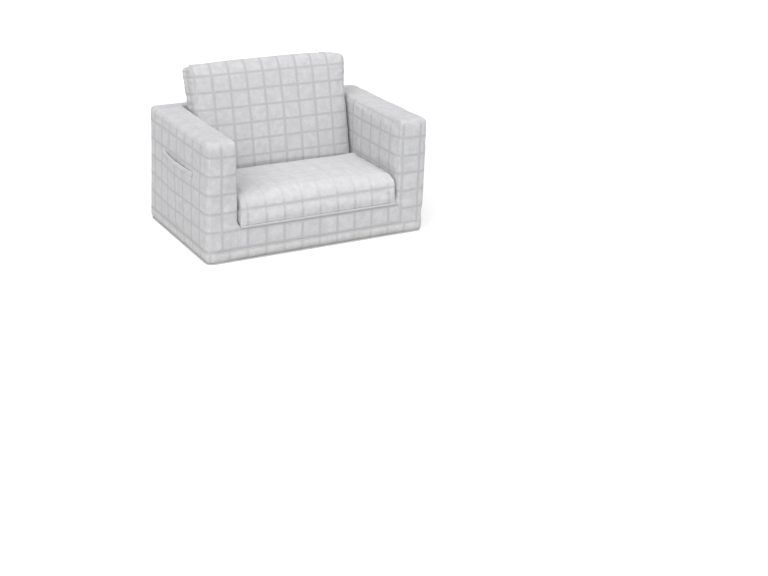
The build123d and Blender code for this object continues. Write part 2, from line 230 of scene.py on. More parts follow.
@dataclass(frozen=True)
class CheckCloth:
    """Light grey woven cloth with soft grey lines in a square check."""

    name: str
    ground: float
    line: float
    # top_share: the share of the check's lines kept under full painted glare. The lift below it paints the
    # ground lighter there. Both stand in for light falling on the tops.
    top_share: float
    glare_lift: float = 1.0
    blue: float = 1.022
    spacing: float = 0.053
    line_width: float = 0.0062
    line_edge: float = 0.0030
    crossing: float = 0.12
    wander: float = 0.0032
    ragged: float = 0.0034
    drift_scale: float = 13.0
    slub_scale: float = 210.0
    cloud_scale: float = 55.0
    crinkle_scale: float = 130.0
    warp_scale: Point = (900.0, 130.0, 130.0)
    weft_scale: Point = (130.0, 900.0, 900.0)
    relief: float = 0.0022

    def shade(self, share: float) -> tuple[float, float, float, float]:
        """The ground's colour, lighter or darker by a share."""
        value = self.ground * share
        return (value, value, value * self.blue, 1.0)

    def lines(self, w: Weaver, cloth: Socket, slub: Socket) -> Socket:
        """How far the check's lines cover each point.

        Args:
            w: the material's weaver.
            cloth: the point's place on the cloth.
            slub: the uneven thickness of the threads.

        Returns:
            The cover, from 0 to 1, and a little more where two lines cross.
        """
        drift = w.out(w.node("TexNoise", Vector=cloth, Scale=self.drift_scale, Detail=2.0), "Color")
        middle, reach = (0.5, 0.5, 0.5), (self.wander,) * 3
        shift = w.out(w.node("VectorMath", {"operation": "SUBTRACT"}, Vector=drift, Vector_001=middle))
        moved = w.node(
            "VectorMath", {"operation": "MULTIPLY_ADD"}, Vector=shift, Vector_001=reach, Vector_002=cloth
        )
        low, high = self.line_width / 2 - self.line_edge / 2, self.line_width / 2 + self.line_edge
        covered = None
        for place, facing in zip(w.split(w.out(moved)), w.split(w.attribute(FACING))):
            ragged = place.from_line(self.spacing) + (slub - 0.5) * self.ragged
            stripe = w.ease(ragged, low, high, 1.0, 0.0)
            shown = stripe * w.ease(facing.size(), 0.62, 0.80, 1.0, 0.0)
            covered = shown if covered is None else covered.most(shown) + (covered * shown) * self.crossing
        return covered

    def make(self) -> bpy.types.Material:
        """Builds the material from the cloth place, facing and painted glare that the piece's points hold."""
        w = new_material(self.name)
        cloth = w.attribute(CLOTH)
        glare = w.attribute(GLARE, "Fac")
        slub = w.grain(cloth, self.slub_scale, 3.0, 0.6)
        cloudy = w.grain(cloth, self.cloud_scale, 4.0, 0.6)
        threads = (w.grain(w.scaled(cloth, self.warp_scale), 1.0, 2.0)
                   + w.grain(w.scaled(cloth, self.weft_scale), 1.0, 2.0)) * 0.5
        # Painted glare: the check's lines are painted washed out where light falls.
        kept = 1 - glare * (1 - self.top_share)
        broken = w.ease(slub, 0.36, 0.62)
        strength = self.lines(w, cloth, slub) * kept * (0.36 + cloudy * 0.42 + broken * 0.44)
        plain = w.mix(w.ease(cloudy + threads * 0.8, 0.55, 1.25), self.shade(0.88), self.shade(1.09))
        # Painted glare: the ground is painted lighter where light falls.
        ground = w.mix(glare * (self.glare_lift - 1) * 5, plain, self.shade(1.2))
        height = threads * 0.5 + w.grain(cloth, self.crinkle_scale, 5.0, 0.68)
        return w.finish(
            Base_Color=w.mix(strength, ground, self.shade(self.line / self.ground)),
            Roughness=w.ease(threads, 0.3, 0.8, 0.80, 0.95),
            Normal=w.bump(height, self.relief, 0.75),
            Sheen_Weight=0.15,
            Sheen_Roughness=0.5,
            Specular_IOR_Level=0.25,
        )


@dataclass(frozen=True)
class PlainCloth:
    """One-colour woven tape, cord cover or thread."""

    name: str
    ground: float
    scale: float = 900.0
    relief: float = 0.0003
    roughness: float = 0.9

    def make(self) -> bpy.types.Material:
        """Builds the material on the piece's own place."""
        w = new_material(self.name)
        place = w.place()
        threads = w.grain(place, self.scale, 2.0)
        patchy = w.ease(threads * 0.6 + w.grain(place, 60.0, 3.0) * 0.4, 0.3, 0.7)
        return w.finish(
            Base_Color=w.mix(patchy, grey(self.ground * 0.86), grey(self.ground * 1.08)),
            Roughness=w.ease(threads, 0.3, 0.7, self.roughness - 0.08, self.roughness),
            Normal=w.bump(threads, self.relief, 0.6),
            Specular_IOR_Level=0.25,
        )


@dataclass(frozen=True)
class GripCloth:
    """Dark underside cloth with small rubber dots in rows, hemmed in light cloth round its edge."""

    name: str = "grip_cloth"
    ground: float = 0.34
    dot: float = 0.20
    pitch: float = 0.012
    dot_radius: float = 0.0028
    hem: float = 0.56
    hem_height: float = 0.0004

    def make(self) -> bpy.types.Material:
        """Builds the material on the piece's own place."""
        w = new_material(self.name)
        place = w.place()
        x, y, z = w.split(place)
        under = w.ease(z, self.hem_height / 2, self.hem_height, 1.0, 0.0)
        across, along = x.from_line(self.pitch), y.from_line(self.pitch)
        away = (across * across + along * along).root()
        dots = w.ease(away, self.dot_radius * 0.8, self.dot_radius, 1.0, 0.0) * under
        threads = w.grain(place, 700.0, 2.0)
        dark = w.mix(dots, w.mix(threads, grey(self.ground * 0.7), grey(self.ground * 1.4)), grey(self.dot))
        light = w.mix(threads, grey(self.hem * 0.92), grey(self.hem * 1.06))
        return w.finish(
            Base_Color=w.mix(under, light, dark),
            Roughness=w.ease(dots, 0.0, 1.0, 0.92, 0.45),
            Normal=w.bump(dots + threads * 0.2, 0.0006, 0.8),
        )


@dataclass(frozen=True)
class CastMetal:
    """Painted die cast metal or moulded nylon of a zip."""

    name: str
    ground: float
    metallic: float
    roughness: float

    def make(self) -> bpy.types.Material:
        """Builds the material on the piece's own place."""
        w = new_material(self.name)
        wear = w.grain(w.place(), 420.0, 4.0, 0.6)
        return w.finish(
            Base_Color=w.mix(wear, grey(self.ground * 0.85), grey(self.ground * 1.12)),
            Metallic=self.metallic,
            Roughness=w.ease(wear, 0.3, 0.7, self.roughness - 0.06, self.roughness + 0.08),
            Normal=w.bump(wear, 0.00008, 0.5),
        )


class Finish(Enum):
    """The finishes of the sofa, each with its slot."""

    CHECK = ("check_fabric", "arms and base")
    SEAT_CHECK = ("check_fabric", "seat")
    BACK_CHECK = ("check_fabric", "backrest")
    BAND_CHECK = ("check_fabric", "band")
    PIPING = ("piping", "cord")
    BINDING = ("binding", "tape")
    THREAD = ("binding", "stitches")
    HOOD = ("binding", "zip hood")
    BASE = ("base_cloth", "underside")
    ZIP_TAPE = ("zip_tape", "woven")
    ZIP_COIL = ("zip_coil", "nylon")
    ZIP_METAL = ("zip_metal", "painted")

    @property
    def slot(self) -> str:
        """The finish's slot."""
        return self.value[0]


class FinishBook:
    """Makes each finish once and puts it on pieces."""

    def __init__(self) -> None:
        self.made: dict[Finish, bpy.types.Material] = {}
        self.recipes: dict[Finish, Any] = {
            Finish.CHECK: CheckCloth("shell_check_cloth", ground=0.572, line=0.450, top_share=0.22),
            Finish.BAND_CHECK: CheckCloth(
                "band_check_cloth", ground=0.59, line=0.49, top_share=0.22, blue=0.995
            ),
            # The seat's ground is painted lighter than the arms', though it is the same cloth, to make up for
            # the shade that the arms and back cast on the seat.
            Finish.SEAT_CHECK: CheckCloth(
                "seat_check_cloth", ground=0.592, line=0.470, top_share=0.30, glare_lift=1.03
            ),
            Finish.BACK_CHECK: CheckCloth(
                "backrest_check_cloth", ground=0.570, line=0.448, top_share=0.45, glare_lift=1.04
            ),
            Finish.PIPING: PlainCloth("piping_cloth", 0.56),
            Finish.BINDING: PlainCloth("binding_tape", 0.62),
            Finish.THREAD: PlainCloth("thread", 0.66, 2500.0, 0.0001),
            Finish.HOOD: PlainCloth("hood_cloth", 0.565),
            Finish.BASE: GripCloth(),
            Finish.ZIP_TAPE: PlainCloth("zip_tape_weave", 0.55),
            Finish.ZIP_COIL: CastMetal("zip_nylon", 0.52, 0.0, 0.45),
            Finish.ZIP_METAL: CastMetal("zip_slider_paint", 0.38, 0.7, 0.38),
        }

    def dress(self, piece: bpy.types.Object, finish: Finish) -> None:
        """Gives a piece its finish."""
        if finish not in self.made:
            self.made[finish] = self.recipes[finish].make()
        if piece.material_slots:
            for slot in piece.material_slots:
                slot.material = self.made[finish]
        else:
            piece.data.materials.append(self.made[finish])


BOOK = FinishBook()


def piece_from(mesh: bmesh.types.BMesh | bpy.types.Mesh, name: str, smooth: bool = True) -> bpy.types.Object:
    """Makes an object of a finished mesh.

    Args:
        mesh: the mesh, or the bmesh, which is freed.
        name: the piece's name.
        smooth: whether its faces are shaded smooth.

    Returns:
        The linked object.
    """
    if isinstance(mesh, bmesh.types.BMesh):
        data = bpy.data.meshes.new(name)
        mesh.to_mesh(data)
        mesh.free()
    else:
        data = mesh
        data.name = name
    data.polygons.foreach_set("use_smooth", [smooth] * len(data.polygons))
    piece = bpy.data.objects.new(name, data)
    bpy.context.scene.collection.objects.link(piece)
    return piece


def clothed(piece: bpy.types.Object, body: str, finish: Finish, *nodes: str) -> bpy.types.Object:
    """Puts a finished piece on its body, in its finish, for the nodes it stands for."""
    BOOK.dress(piece, finish)
    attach(piece, body)
    if nodes:
        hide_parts(*nodes)
    LOG.info("%s: %d faces on %s", piece.name, len(piece.data.polygons), body)
    return piece


def evaluated_mesh(piece: bpy.types.Object) -> bpy.types.Mesh:
    """A new mesh of the piece as its modifiers or its curve make it."""
    graph = bpy.context.evaluated_depsgraph_get()
    graph.update()
    return bpy.data.meshes.new_from_object(piece.evaluated_get(graph))


def baked(piece: bpy.types.Object) -> bpy.types.Mesh:
    """The piece's mesh with its modifiers applied; the piece itself is removed."""
    mesh = evaluated_mesh(piece)
    old = piece.data
    bpy.data.objects.remove(piece)
    bpy.data.meshes.remove(old)
    return mesh


def remeshed(mesh: bmesh.types.BMesh, voxel: float, rounds: int) -> bpy.types.Mesh:
    """An even mesh of small squares over a closed form, relaxed a little."""
    piece = piece_from(mesh, "form")
    remesh = piece.modifiers.new("even", "REMESH")
    remesh.mode = "VOXEL"
    remesh.voxel_size = voxel
    even = baked(piece)
    relaxed = bmesh.new()
    relaxed.from_mesh(even)
    for _ in range(rounds):
        bmesh.ops.smooth_vert(
            relaxed, verts=relaxed.verts, factor=0.5, use_axis_x=True, use_axis_y=True, use_axis_z=True
        )
    relaxed.to_mesh(even)
    relaxed.free()
    return even


def finer(mesh: bpy.types.Mesh) -> bpy.types.Mesh:
    """The mesh with each square split in four and smoothed."""
    piece = piece_from(mesh, "finer")
    split = piece.modifiers.new("split", "SUBSURF")
    split.levels = split.render_levels = 1
    return baked(piece)


def points_of(mesh: bpy.types.Mesh) -> np.ndarray:
    """The mesh's points as rows of three numbers."""
    flat = np.empty(len(mesh.vertices) * 3)
    mesh.vertices.foreach_get("co", flat)
    return flat.reshape(-1, 3)


def normals_of(mesh: bpy.types.Mesh) -> np.ndarray:
    """The mesh's point normals as rows of three numbers."""
    flat = np.empty(len(mesh.vertices) * 3)
    mesh.vertex_normals.foreach_get("vector", flat)
    return flat.reshape(-1, 3)


def set_points(mesh: bpy.types.Mesh, points: np.ndarray) -> None:
    """Moves the mesh's points."""
    mesh.vertices.foreach_set("co", points.astype(np.float32).ravel())
    mesh.update()


def band(values: np.ndarray, low: float, high: float, edge: float) -> np.ndarray:
    """1 between low and high and 0 outside, with a smooth edge."""
    rise = np.clip((values - low) / edge + 1, 0, 1)
    fall = np.clip((high - values) / edge + 1, 0, 1)
    both = rise * fall
    return both * both * (3 - 2 * both)


def eased(values: np.ndarray, low: float, high: float) -> np.ndarray:
    """0 below low and 1 above high, with a smooth rise."""
    share = np.clip((values - low) / (high - low), 0, 1)
    return share * share * (3 - 2 * share)


@dataclass
class Swelling:
    """Cloth under the push of its stuffing, run for a few frames and then capped."""

    pressure: float = 4.0
    frames: int = 20
    tension: float = 18.0
    bending: float = 0.4
    pin_steps: int = 10
    quick_share: float = 0.7

    def run(self, mesh: bpy.types.Mesh, held: np.ndarray, cap: np.ndarray) -> bpy.types.Mesh:
        """Swells a closed mesh.

        Args:
            mesh: the closed mesh, which is used up.
            held: for each point, how firmly a seam holds it, from 0 to 1.
            cap: for each point, how far it may move, in metres.

        Returns:
            The swollen mesh.
        """
        start = points_of(mesh)
        piece = piece_from(mesh, "swelling")
        group = piece.vertex_groups.new(name="held")
        for step in range(1, self.pin_steps + 1):
            members = np.nonzero(np.rint(held * self.pin_steps) == step)[0]
            if len(members):
                group.add([int(i) for i in members], step / self.pin_steps, "REPLACE")
        cloth = piece.modifiers.new("stuffed", "CLOTH")
        rules = cloth.settings
        rules.use_pressure = True
        rules.uniform_pressure_force = self.pressure
        rules.effector_weights.gravity = 0.0
        rules.vertex_group_mass = "held"
        rules.quality = 5
        rules.tension_stiffness = self.tension
        rules.compression_stiffness = self.tension
        rules.shear_stiffness = self.tension / 3
        rules.bending_stiffness = self.bending
        cloth.point_cache.frame_start = 1
        cloth.point_cache.frame_end = self.frames
        scene = bpy.context.scene
        for step in range(1, self.frames + 1):
            scene.frame_set(step)
        swollen = baked(piece)
        scene.frame_set(1)
        moved = points_of(swollen) - start
        length = np.linalg.norm(moved, axis=1)
        share = np.minimum(1.0, cap / np.maximum(length, 1e-9))
        set_points(swollen, start + moved * share[:, None])
        return swollen


def crisper(gaps: Sequence[np.ndarray], reach: float) -> list[np.ndarray]:
    """Sharpens a rounded edge between two flat faces.

    Args:
        gaps: each point's distance behind the first face and behind the second.
        reach: how far from the edge the faces are bent.

    Returns:
        The new distances behind each face.
    """
    first, second = gaps
    near = (first < reach) & (second < reach) & (first > -reach / 2) & (second > -reach / 2)
    made = []
    for gap in gaps:
        share = np.clip(gap / reach, 0, 1)
        made.append(np.where(near & (gap > 0), gap * (0.25 + 0.75 * share), gap))
    return made


@dataclass(frozen=True)
class Slot:
    """A straight slot with upright walls, pressed into a flat place for a zip."""

    middle: Point
    out: Point
    along: Point
    length: float
    width: float = 0.0025
    depth: float = 0.0007
    margin: float = 0.02
    level: float = 0.004

    def press(self, mesh: bpy.types.Mesh) -> None:
        """Presses the slot into a closed mesh."""
        middle, out, along = Vector(self.middle), Vector(self.out), Vector(self.along)
        across = out.cross(along)
        form = bmesh.new()
        form.from_mesh(mesh)

        def in_reach(face: bmesh.types.BMFace, margin: float) -> bool:
            """Whether a face lies level with the slot and within its sides and a margin."""
            apart = face.calc_center_median() - middle
            if face.normal.dot(out) <= 0.8 or abs(apart.dot(out)) >= self.level:
                return False
            beside = abs(apart.dot(across)) < self.width / 2 + margin
            return beside and abs(apart.dot(along)) < self.length / 2 + margin

        ends = ((along, self.length / 2), (-along, self.length / 2))
        for way, reach in (*ends, (across, self.width / 2), (-across, self.width / 2)):
            near = [face for face in form.faces if in_reach(face, self.margin)]
            rims = dict.fromkeys(part for face in near for part in (*face.verts, *face.edges))
            bmesh.ops.bisect_plane(
                form, geom=[*rims, *near], plane_co=middle + way * reach, plane_no=way, dist=1e-6
            )
        floor = [face for face in form.faces if in_reach(face, 0.0)]
        raised = bmesh.ops.extrude_face_region(form, geom=floor)
        for vert in raised["geom"]:
            if isinstance(vert, bmesh.types.BMVert):
                vert.co -= out * ((vert.co - middle).dot(out) + self.depth)
        bmesh.ops.delete(form, geom=[face for face in floor if face.is_valid], context="FACES")
        bmesh.ops.recalc_face_normals(form, faces=form.faces)
        form.to_mesh(mesh)
        form.free()


@dataclass(frozen=True)
class Seam:
    """A sewn line on a stuffed cover: a valley with small puckers, and the cord in it."""

    name: str
    path: tuple[Vector, ...]
    closed: bool = False
    valley: float = 0.0010
    width: float = 0.0030
    pucker: float = 0.0006
    reach: float = 0.012
    pitch: float = 0.011
    cord: float = 0.0009
    sunk: float = 0.0003
    step: float = 0.002

    def fine(self, step: float) -> list[Vector]:
        """The path with a point at every step."""
        corners = list(self.path) + ([self.path[0]] if self.closed else [])
        made: list[Vector] = []
        for first, second in zip(corners, corners[1:]):
            count = max(1, round((second - first).length / step))
            made += [first.lerp(second, index / count) for index in range(count)]
        return made if self.closed else [*made, corners[-1]]


def sew(mesh: bpy.types.Mesh, seams: Sequence[Seam]) -> None:
    """Pulls the valleys and puckers of some seams into a cover."""
    points, normals = points_of(mesh), normals_of(mesh)
    shift = np.zeros(len(points))
    for number, seam in enumerate(seams):
        path = seam.fine(seam.step)
        span = seam.reach * 2.5
        finder = KDTree(len(path))
        for index, point in enumerate(path):
            finder.insert(point, index)
        finder.balance()
        low = np.min([list(p) for p in path], axis=0) - span
        high = np.max([list(p) for p in path], axis=0) + span
        for index in np.nonzero(np.all((points > low) & (points < high), axis=1))[0]:
            _, place, away = finder.find(points[index])
            if away > span:
                continue
            gather = noise.noise((place * seam.step / seam.pitch, number * 7.3, away * 25.0))
            shift[index] -= seam.valley * math.exp(-((away / seam.width) ** 2))
            shift[index] += seam.pucker * gather * math.exp(-((away / seam.reach) ** 2))
    set_points(mesh, points + normals * shift[:, None])


def tree_of(mesh: bpy.types.Mesh) -> BVHTree:
    """A search tree over a mesh's faces."""
    faces = [tuple(face.vertices) for face in mesh.polygons]
    return BVHTree.FromPolygons([vert.co.copy() for vert in mesh.vertices], faces)


def evened(points: list[Vector], rounds: int, closed: bool = True) -> list[Vector]:
    """A line's points smoothed for some rounds; an open line keeps its ends."""
    count = len(points)
    for _ in range(rounds):
        ends = points[0], points[-1]
        points = [(points[i - 1] + points[i] * 2 + points[(i + 1) % count]) / 4 for i in range(count)]
        if not closed:
            points[0], points[-1] = ends
    return points


def laid_on(
    tree: BVHTree, points: Iterable[Vector], lift: float, rounds: int, closed: bool = True
) -> list[Vector]:
    """Points brought onto a surface, lifted off it, and evened out along their line."""
    placed = []
    for point in points:
        spot, normal, _, _ = tree.find_nearest(point)
        placed.append(spot + normal * lift)
    return evened(placed, rounds, closed)


def tube(
    points: Sequence[Vector], radius: float, name: str, closed: bool, sides: int = 3
) -> bpy.types.Object:
    """A thin cord along points, as a mesh piece."""
    curve = bpy.data.curves.new(name, "CURVE")
    curve.dimensions = "3D"
    curve.bevel_depth = radius
    curve.bevel_resolution = sides
    curve.use_fill_caps = True
    spline = curve.splines.new("POLY")
    spline.points.add(len(points) - 1)
    for place, point in zip(spline.points, points):
        place.co = (*point, 1.0)
    spline.use_cyclic_u = closed
    holder = bpy.data.objects.new(name, curve)
    bpy.context.scene.collection.objects.link(holder)
    mesh = evaluated_mesh(holder)
    bpy.data.objects.remove(holder)
    bpy.data.curves.remove(curve)
    return piece_from(mesh, name)


def run_cords(mesh: bpy.types.Mesh, seams: Sequence[Seam], body: str) -> None:
    """Lays each seam's cord in its valley, in one piece for each seam."""
    tree = tree_of(mesh)
    for seam in seams:
        path = seam.fine(2 * seam.step)
        placed = laid_on(tree, path, seam.cord / 2 - seam.sunk, 2, seam.closed)
        clothed(tube(placed, seam.cord, seam.name, seam.closed, 2), body, Finish.PIPING)


def mark_cloth(
    mesh: bpy.types.Mesh, glare: np.ndarray, shift: Point, stretch: Point = (1.0, 1.0, 1.0),
    turn: Matrix = Matrix.Identity(3), origin: Point = (0.0, 0.0, 0.0),
) -> None:
    """Stores on each point where it lies on the check, which way the cloth faces there, and how much painted
    glare it takes.

    Args:
        mesh: the finished mesh, in the row's frame.
        glare: painted glare, how far each point's lines are painted washed out and its ground painted lighter
            where light falls, from 0 to 1.
        shift: where the check's lines start, in metres.
        stretch: the check's spacing on this piece over the cloth's usual spacing.
        turn: turns the row's directions into the cloth's.
        origin: where the cloth's own frame starts.
    """
    turned = np.array(turn.to_3x3())
    places = (points_of(mesh) - np.array(origin)) @ turned.T
    places = (places - np.array(shift)) / np.array(stretch)
    facings = normals_of(mesh) @ turned.T
    for name, values in ((CLOTH, places), (FACING, facings)):
        attribute = mesh.attributes.get(name) or mesh.attributes.new(name, "FLOAT_VECTOR", "POINT")
        attribute.data.foreach_set("vector", values.astype(np.float32).ravel())
    stored = mesh.attributes.get(GLARE) or mesh.attributes.new(GLARE, "FLOAT", "POINT")
    stored.data.foreach_set("value", glare.astype(np.float32))


def upward(mesh: bpy.types.Mesh) -> np.ndarray:
    """How much painted glare each point takes from the light above, by how far it faces up."""
    return eased(normals_of(mesh)[:, 2], 0.10, 0.55)


def underneath(mesh: bpy.types.Mesh, out: Point = (0.0, 0.0, 1.0)) -> np.ndarray:
    """How far each point looks away from a pad's sitting side, from 0 to 1."""
    return eased(-(normals_of(mesh) @ np.array(out)), 0.4, 0.8)


def box_form(low: Point, high: Point) -> bmesh.types.BMesh:
    """A box between two corners."""
    form = bmesh.new()
    middle = (Vector(low) + Vector(high)) / 2
    size = Vector(high) - Vector(low)
    bmesh.ops.create_cube(form, size=1.0, matrix=Matrix.Translation(middle) @ Matrix.Diagonal((*size, 1.0)))
    return form


def bevelled(form: bmesh.types.BMesh, edges: Sequence[bmesh.types.BMEdge], radius: float, steps: int) -> None:
    """Rounds some edges."""
    bmesh.ops.bevel(
        form, geom=edges, offset=radius, offset_type="OFFSET", segments=steps, profile=0.5,
        affect="EDGES", material=-1, clamp_overlap=True,
    )


def round_edges(form: bmesh.types.BMesh, test: EdgeTest, radius: float, steps: int = 6) -> None:
    """Rounds the edges whose two ends pass a test."""
    bevelled(form, [e for e in form.edges if test(e.verts[0].co, e.verts[1].co)], radius, steps)


def unit_grid(columns: int, rows: int) -> bmesh.types.BMesh:
    """A flat grid from -0.5 to 0.5 each way, to be bent into a sheet."""
    form = bmesh.new()
    bmesh.ops.create_grid(form, x_segments=columns, y_segments=rows, size=0.5)
    return form


def thickened(form: bmesh.types.BMesh, thickness: float, out: Point | None = None) -> bmesh.types.BMesh:
    """Gives a bent sheet its thickness.

    Args:
        form: the sheet.
        thickness: how thick it becomes, behind its outer side, or before it where negative.
        out: the way its outer side looks, if that matters.

    Returns:
        The same form.
    """
    bmesh.ops.recalc_face_normals(form, faces=form.faces)
    if out and sum(face.normal.dot(Vector(out)) for face in form.faces) < 0:
        bmesh.ops.reverse_faces(form, faces=form.faces)
    bmesh.ops.solidify(form, geom=form.faces[:], thickness=thickness)
    bmesh.ops.recalc_face_normals(form, faces=form.faces)
    return form


def both_at(a: Vector, b: Vector, axis: int, *values: float) -> bool:
    """Whether both ends of an edge lie at the same one of some values on an axis."""
    return any(abs(a[axis] - value) < TOUCH and abs(b[axis] - value) < TOUCH for value in values)


def rounded_box(
    low: Point, high: Point, rounds: Iterable[tuple[float, float, float, int]],
    end_round: float, end_steps: int,
) -> bmesh.types.BMesh:
    """A box with its long edges rounded one by one, and then the edges of its two ends.

    Args:
        low: the lowest corner.
        high: the highest corner.
        rounds: for each long edge, its y, its z, its radius and the round's steps.
        end_round: the radius of the edges round each end.
        end_steps: the steps of that round.

    Returns:
        The form.
    """
    form = box_form(low, high)
    for y, z, radius, steps in rounds:
        round_edges(form, lambda a, b: both_at(a, b, 1, y) and both_at(a, b, 2, z), radius, steps)
    round_edges(form, lambda a, b: both_at(a, b, 0, low[0], high[0]), end_round, end_steps)
    return form


def hump(shares: np.ndarray, power: float = 2.2) -> np.ndarray:
    """1 in the middle and 0 at -1 and at 1, flatter on top for a higher power."""
    return 1 - np.clip(np.abs(shares), 0, 1) ** power


def zip_lips(away: np.ndarray) -> np.ndarray:
    """How far the cloth stands up beside a zip, at some distances from the zip's line."""
    return band(np.abs(away), -1.0, 0.004, 0.004) * 0.0006


def sewn(name: str, places: Iterable[Point], **sizes: float) -> Seam:
    """An open seam through some places."""
    return Seam(name, tuple(Vector(place) for place in places), **sizes)


@dataclass(frozen=True)
class Wave:
    """Slack folds of one kind: their height, how many there are to a metre, and where they start."""

    height: float
    scale: Point
    start: Point = (0.0, 0.0, 0.0)

    def at(self, place: Iterable[float]) -> float:
        """The folds' height at one place."""
        spot = [value * scale + start for value, scale, start in zip(place, self.scale, self.start)]
        return noise.noise(spot) * self.height


@dataclass
class Shell:
    """Arms, back and base under one cover, with the narrow band below the seam."""

    width: float = 0.660
    depth: float = 0.424
    height: float = 0.332
    arm: float = 0.092
    back: float = 0.046
    base_top: float = 0.094
    recess: float = 0.0004
    hair: float = 0.0004
    left_shift: float = 0.020
    right_shift: float = 0.013
    right_rise: float = 0.012
    left_lean: float = 0.0072
    right_bow: float = 0.0046
    seam: float = 0.031
    seam_gap: float = 0.0006
    floor: float = 0.0008
    base_lift: float = 0.0010
    outer_round: float = 0.0155
    inner_round: float = 0.010
    foot_round: float = 0.003
    start_inset: float = 0.0022
    swell: float = 0.0026
    right_swell: float = 0.0024
    wall_swell: float = 0.002
    front_swell: float = 0.0008
    base_swell: float = 0.0006
    pressure: float = 3.2
    voxel: float = 0.0070
    beside_pads: float = 0.19
    zip_height: float = 0.066
    zip_length: float = 0.420
    strip_half: float = 0.235
    strip_low: float = 0.048
    strip_high: float = 0.086
    piping: float = 0.0014
    edge_cord: float = 0.0019
    edge_height: float = 0.0030
    folds: tuple[Wave, ...] = (
        Wave(0.0012, (9, 9, 9)),
        Wave(0.0009, (34, 34, 5), (0, 0, 7)),
        Wave(0.0006, (6, 6, 30), (0, 3, 0)),
    )
    body: str = "shell"
    skin_tree: BVHTree | None = field(default=None, repr=False)

    def __post_init__(self) -> None:
        """Works out the planes of the outer faces and of the well between the arms."""
        self.half = self.width / 2
        self.rear = self.depth / 2
        self.front = -self.rear
        self.well = self.half - self.arm
        self.wall = self.rear - self.back

    def by_zip(self, points: np.ndarray) -> np.ndarray:
        """Which points lie on the strip of cover that the zip is sewn to."""
        x, y, z = points.T
        level = (z > self.strip_low) & (z < self.strip_high)
        return (y > self.rear - 0.01) & (np.abs(x) < self.strip_half) & level

    def block(self) -> bmesh.types.BMesh:
        """The plain U of arms and back on the base slab, with rounded edges."""
        inset = self.start_inset
        half, front, rear = self.half - inset, self.front + inset, self.rear - inset
        well, wall = self.well + inset, self.wall + inset
        top, rim = self.base_top - self.hair, self.height - inset
        form = box_form((-half, front, self.floor), (half, rear, top))
        across, along = (1, 0, 0), (0, 1, 0)
        for plane, way in (((-well, 0, 0), across), ((well, 0, 0), across), ((0, wall, 0), along)):
            whole = form.verts[:] + form.edges[:] + form.faces[:]
            bmesh.ops.bisect_plane(form, geom=whole, plane_co=plane, plane_no=way)
        tops = []
        for face in form.faces:
            centre = face.calc_center_median()
            if face.normal.z > 0.9 and not (abs(centre.x) < well and centre.y < wall):
                tops.append(face)
        raised = bmesh.ops.extrude_face_region(form, geom=tops)
        lifted = [part for part in raised["geom"] if isinstance(part, bmesh.types.BMVert)]
        bmesh.ops.translate(form, verts=lifted, vec=(0, 0, rim - top))
        bmesh.ops.dissolve_limit(form, angle_limit=0.01, verts=form.verts, edges=form.edges)

        def outer(a: Vector, b: Vector) -> bool:
            """The upright corners and the rim's outer edges."""
            side, end = both_at(a, b, 0, -half, half), both_at(a, b, 1, front, rear)
            upright = abs(a.z - b.z) > 0.02 and side and end
            return upright or (both_at(a, b, 2, rim) and (side or end))

        def inner(a: Vector, b: Vector) -> bool:
            """The rim's edges towards the well."""
            return both_at(a, b, 2, rim) and (both_at(a, b, 0, -well, well) or both_at(a, b, 1, wall))

        round_edges(form, outer, self.outer_round - inset)
        round_edges(form, inner, self.inner_round - inset)
        round_edges(form, lambda a, b: both_at(a, b, 2, self.floor), self.foot_round, 2)
        bmesh.ops.recalc_face_normals(form, faces=form.faces)
        return form

    def seams(self) -> list[Seam]:
        """The panel seams of arms and back, behind and below their edges."""
        front, rear, top, foot = self.front, self.rear, self.height, self.seam + 0.002
        outside = (
            (front + 0.021, foot), (front + 0.021, top - 0.030), (front + 0.024, top - 0.022),
            (front + 0.032, top - 0.019), (rear - 0.026, top - 0.019),
        )
        inside = (
            (front + 0.012, self.base_top + 0.060), (front + 0.012, top - 0.022),
            (front + 0.015, top - 0.016), (front + 0.022, top - 0.013), (self.wall - 0.010, top - 0.013),
        )
        made = []
        for side, word in ((-1, "left"), (1, "right")):
            outer, inner = side * self.half, side * self.well
            stitch, joint = side * (self.half - 0.015), side * (self.well + 0.005)
            made += [
                sewn(f"{word}_arm_outer_seam", [(outer, y, z) for y, z in outside]),
                sewn(f"{word}_arm_inner_seam", [(inner, y, z) for y, z in inside]),
                sewn(
                    f"{word}_arm_front_stitch", [(stitch, front, foot), (stitch, front, top - 0.018)],
                    valley=0.0006, cord=0.0005,
                ),
                sewn(
                    f"{word}_base_seam", [(joint, front, foot), (joint, front, self.base_top - 0.004)],
                    cord=0.0004,
                ),
            ]
        for word, reach, y, z in (
            ("outer", self.half - 0.026, rear, top - 0.019),
            ("inner", self.well - 0.010, self.wall, top - 0.013),
        ):
            made.append(sewn(f"back_{word}_seam", [(-reach, y, z), (reach, y, z)]))
        return made

    def shift_arm_lines(self, mesh: bpy.types.Mesh) -> None:
        """The arms are cut from other parts of the cloth, so their lines don't meet the base's."""
        x, y, z = points_of(mesh).T
        cloth = mesh.attributes[CLOTH].data
        places = np.empty(len(x) * 3, dtype=np.float32)
        cloth.foreach_get("vector", places)
        places = places.reshape(-1, 3)
        border, before_back = self.well + 0.004, y < self.wall
        places[(x < -border) & before_back, 0] += self.left_shift
        places[(x > border) & before_back, 0] += self.right_shift
        mitre = x - self.half > y - self.rear
        outer = (x > border) & (before_back | mitre)
        inner = (x > border - 0.012) & (z > self.base_top + 0.006) & before_back
        places[outer | inner, 2] += self.right_rise
        cloth.foreach_set("vector", places.ravel())

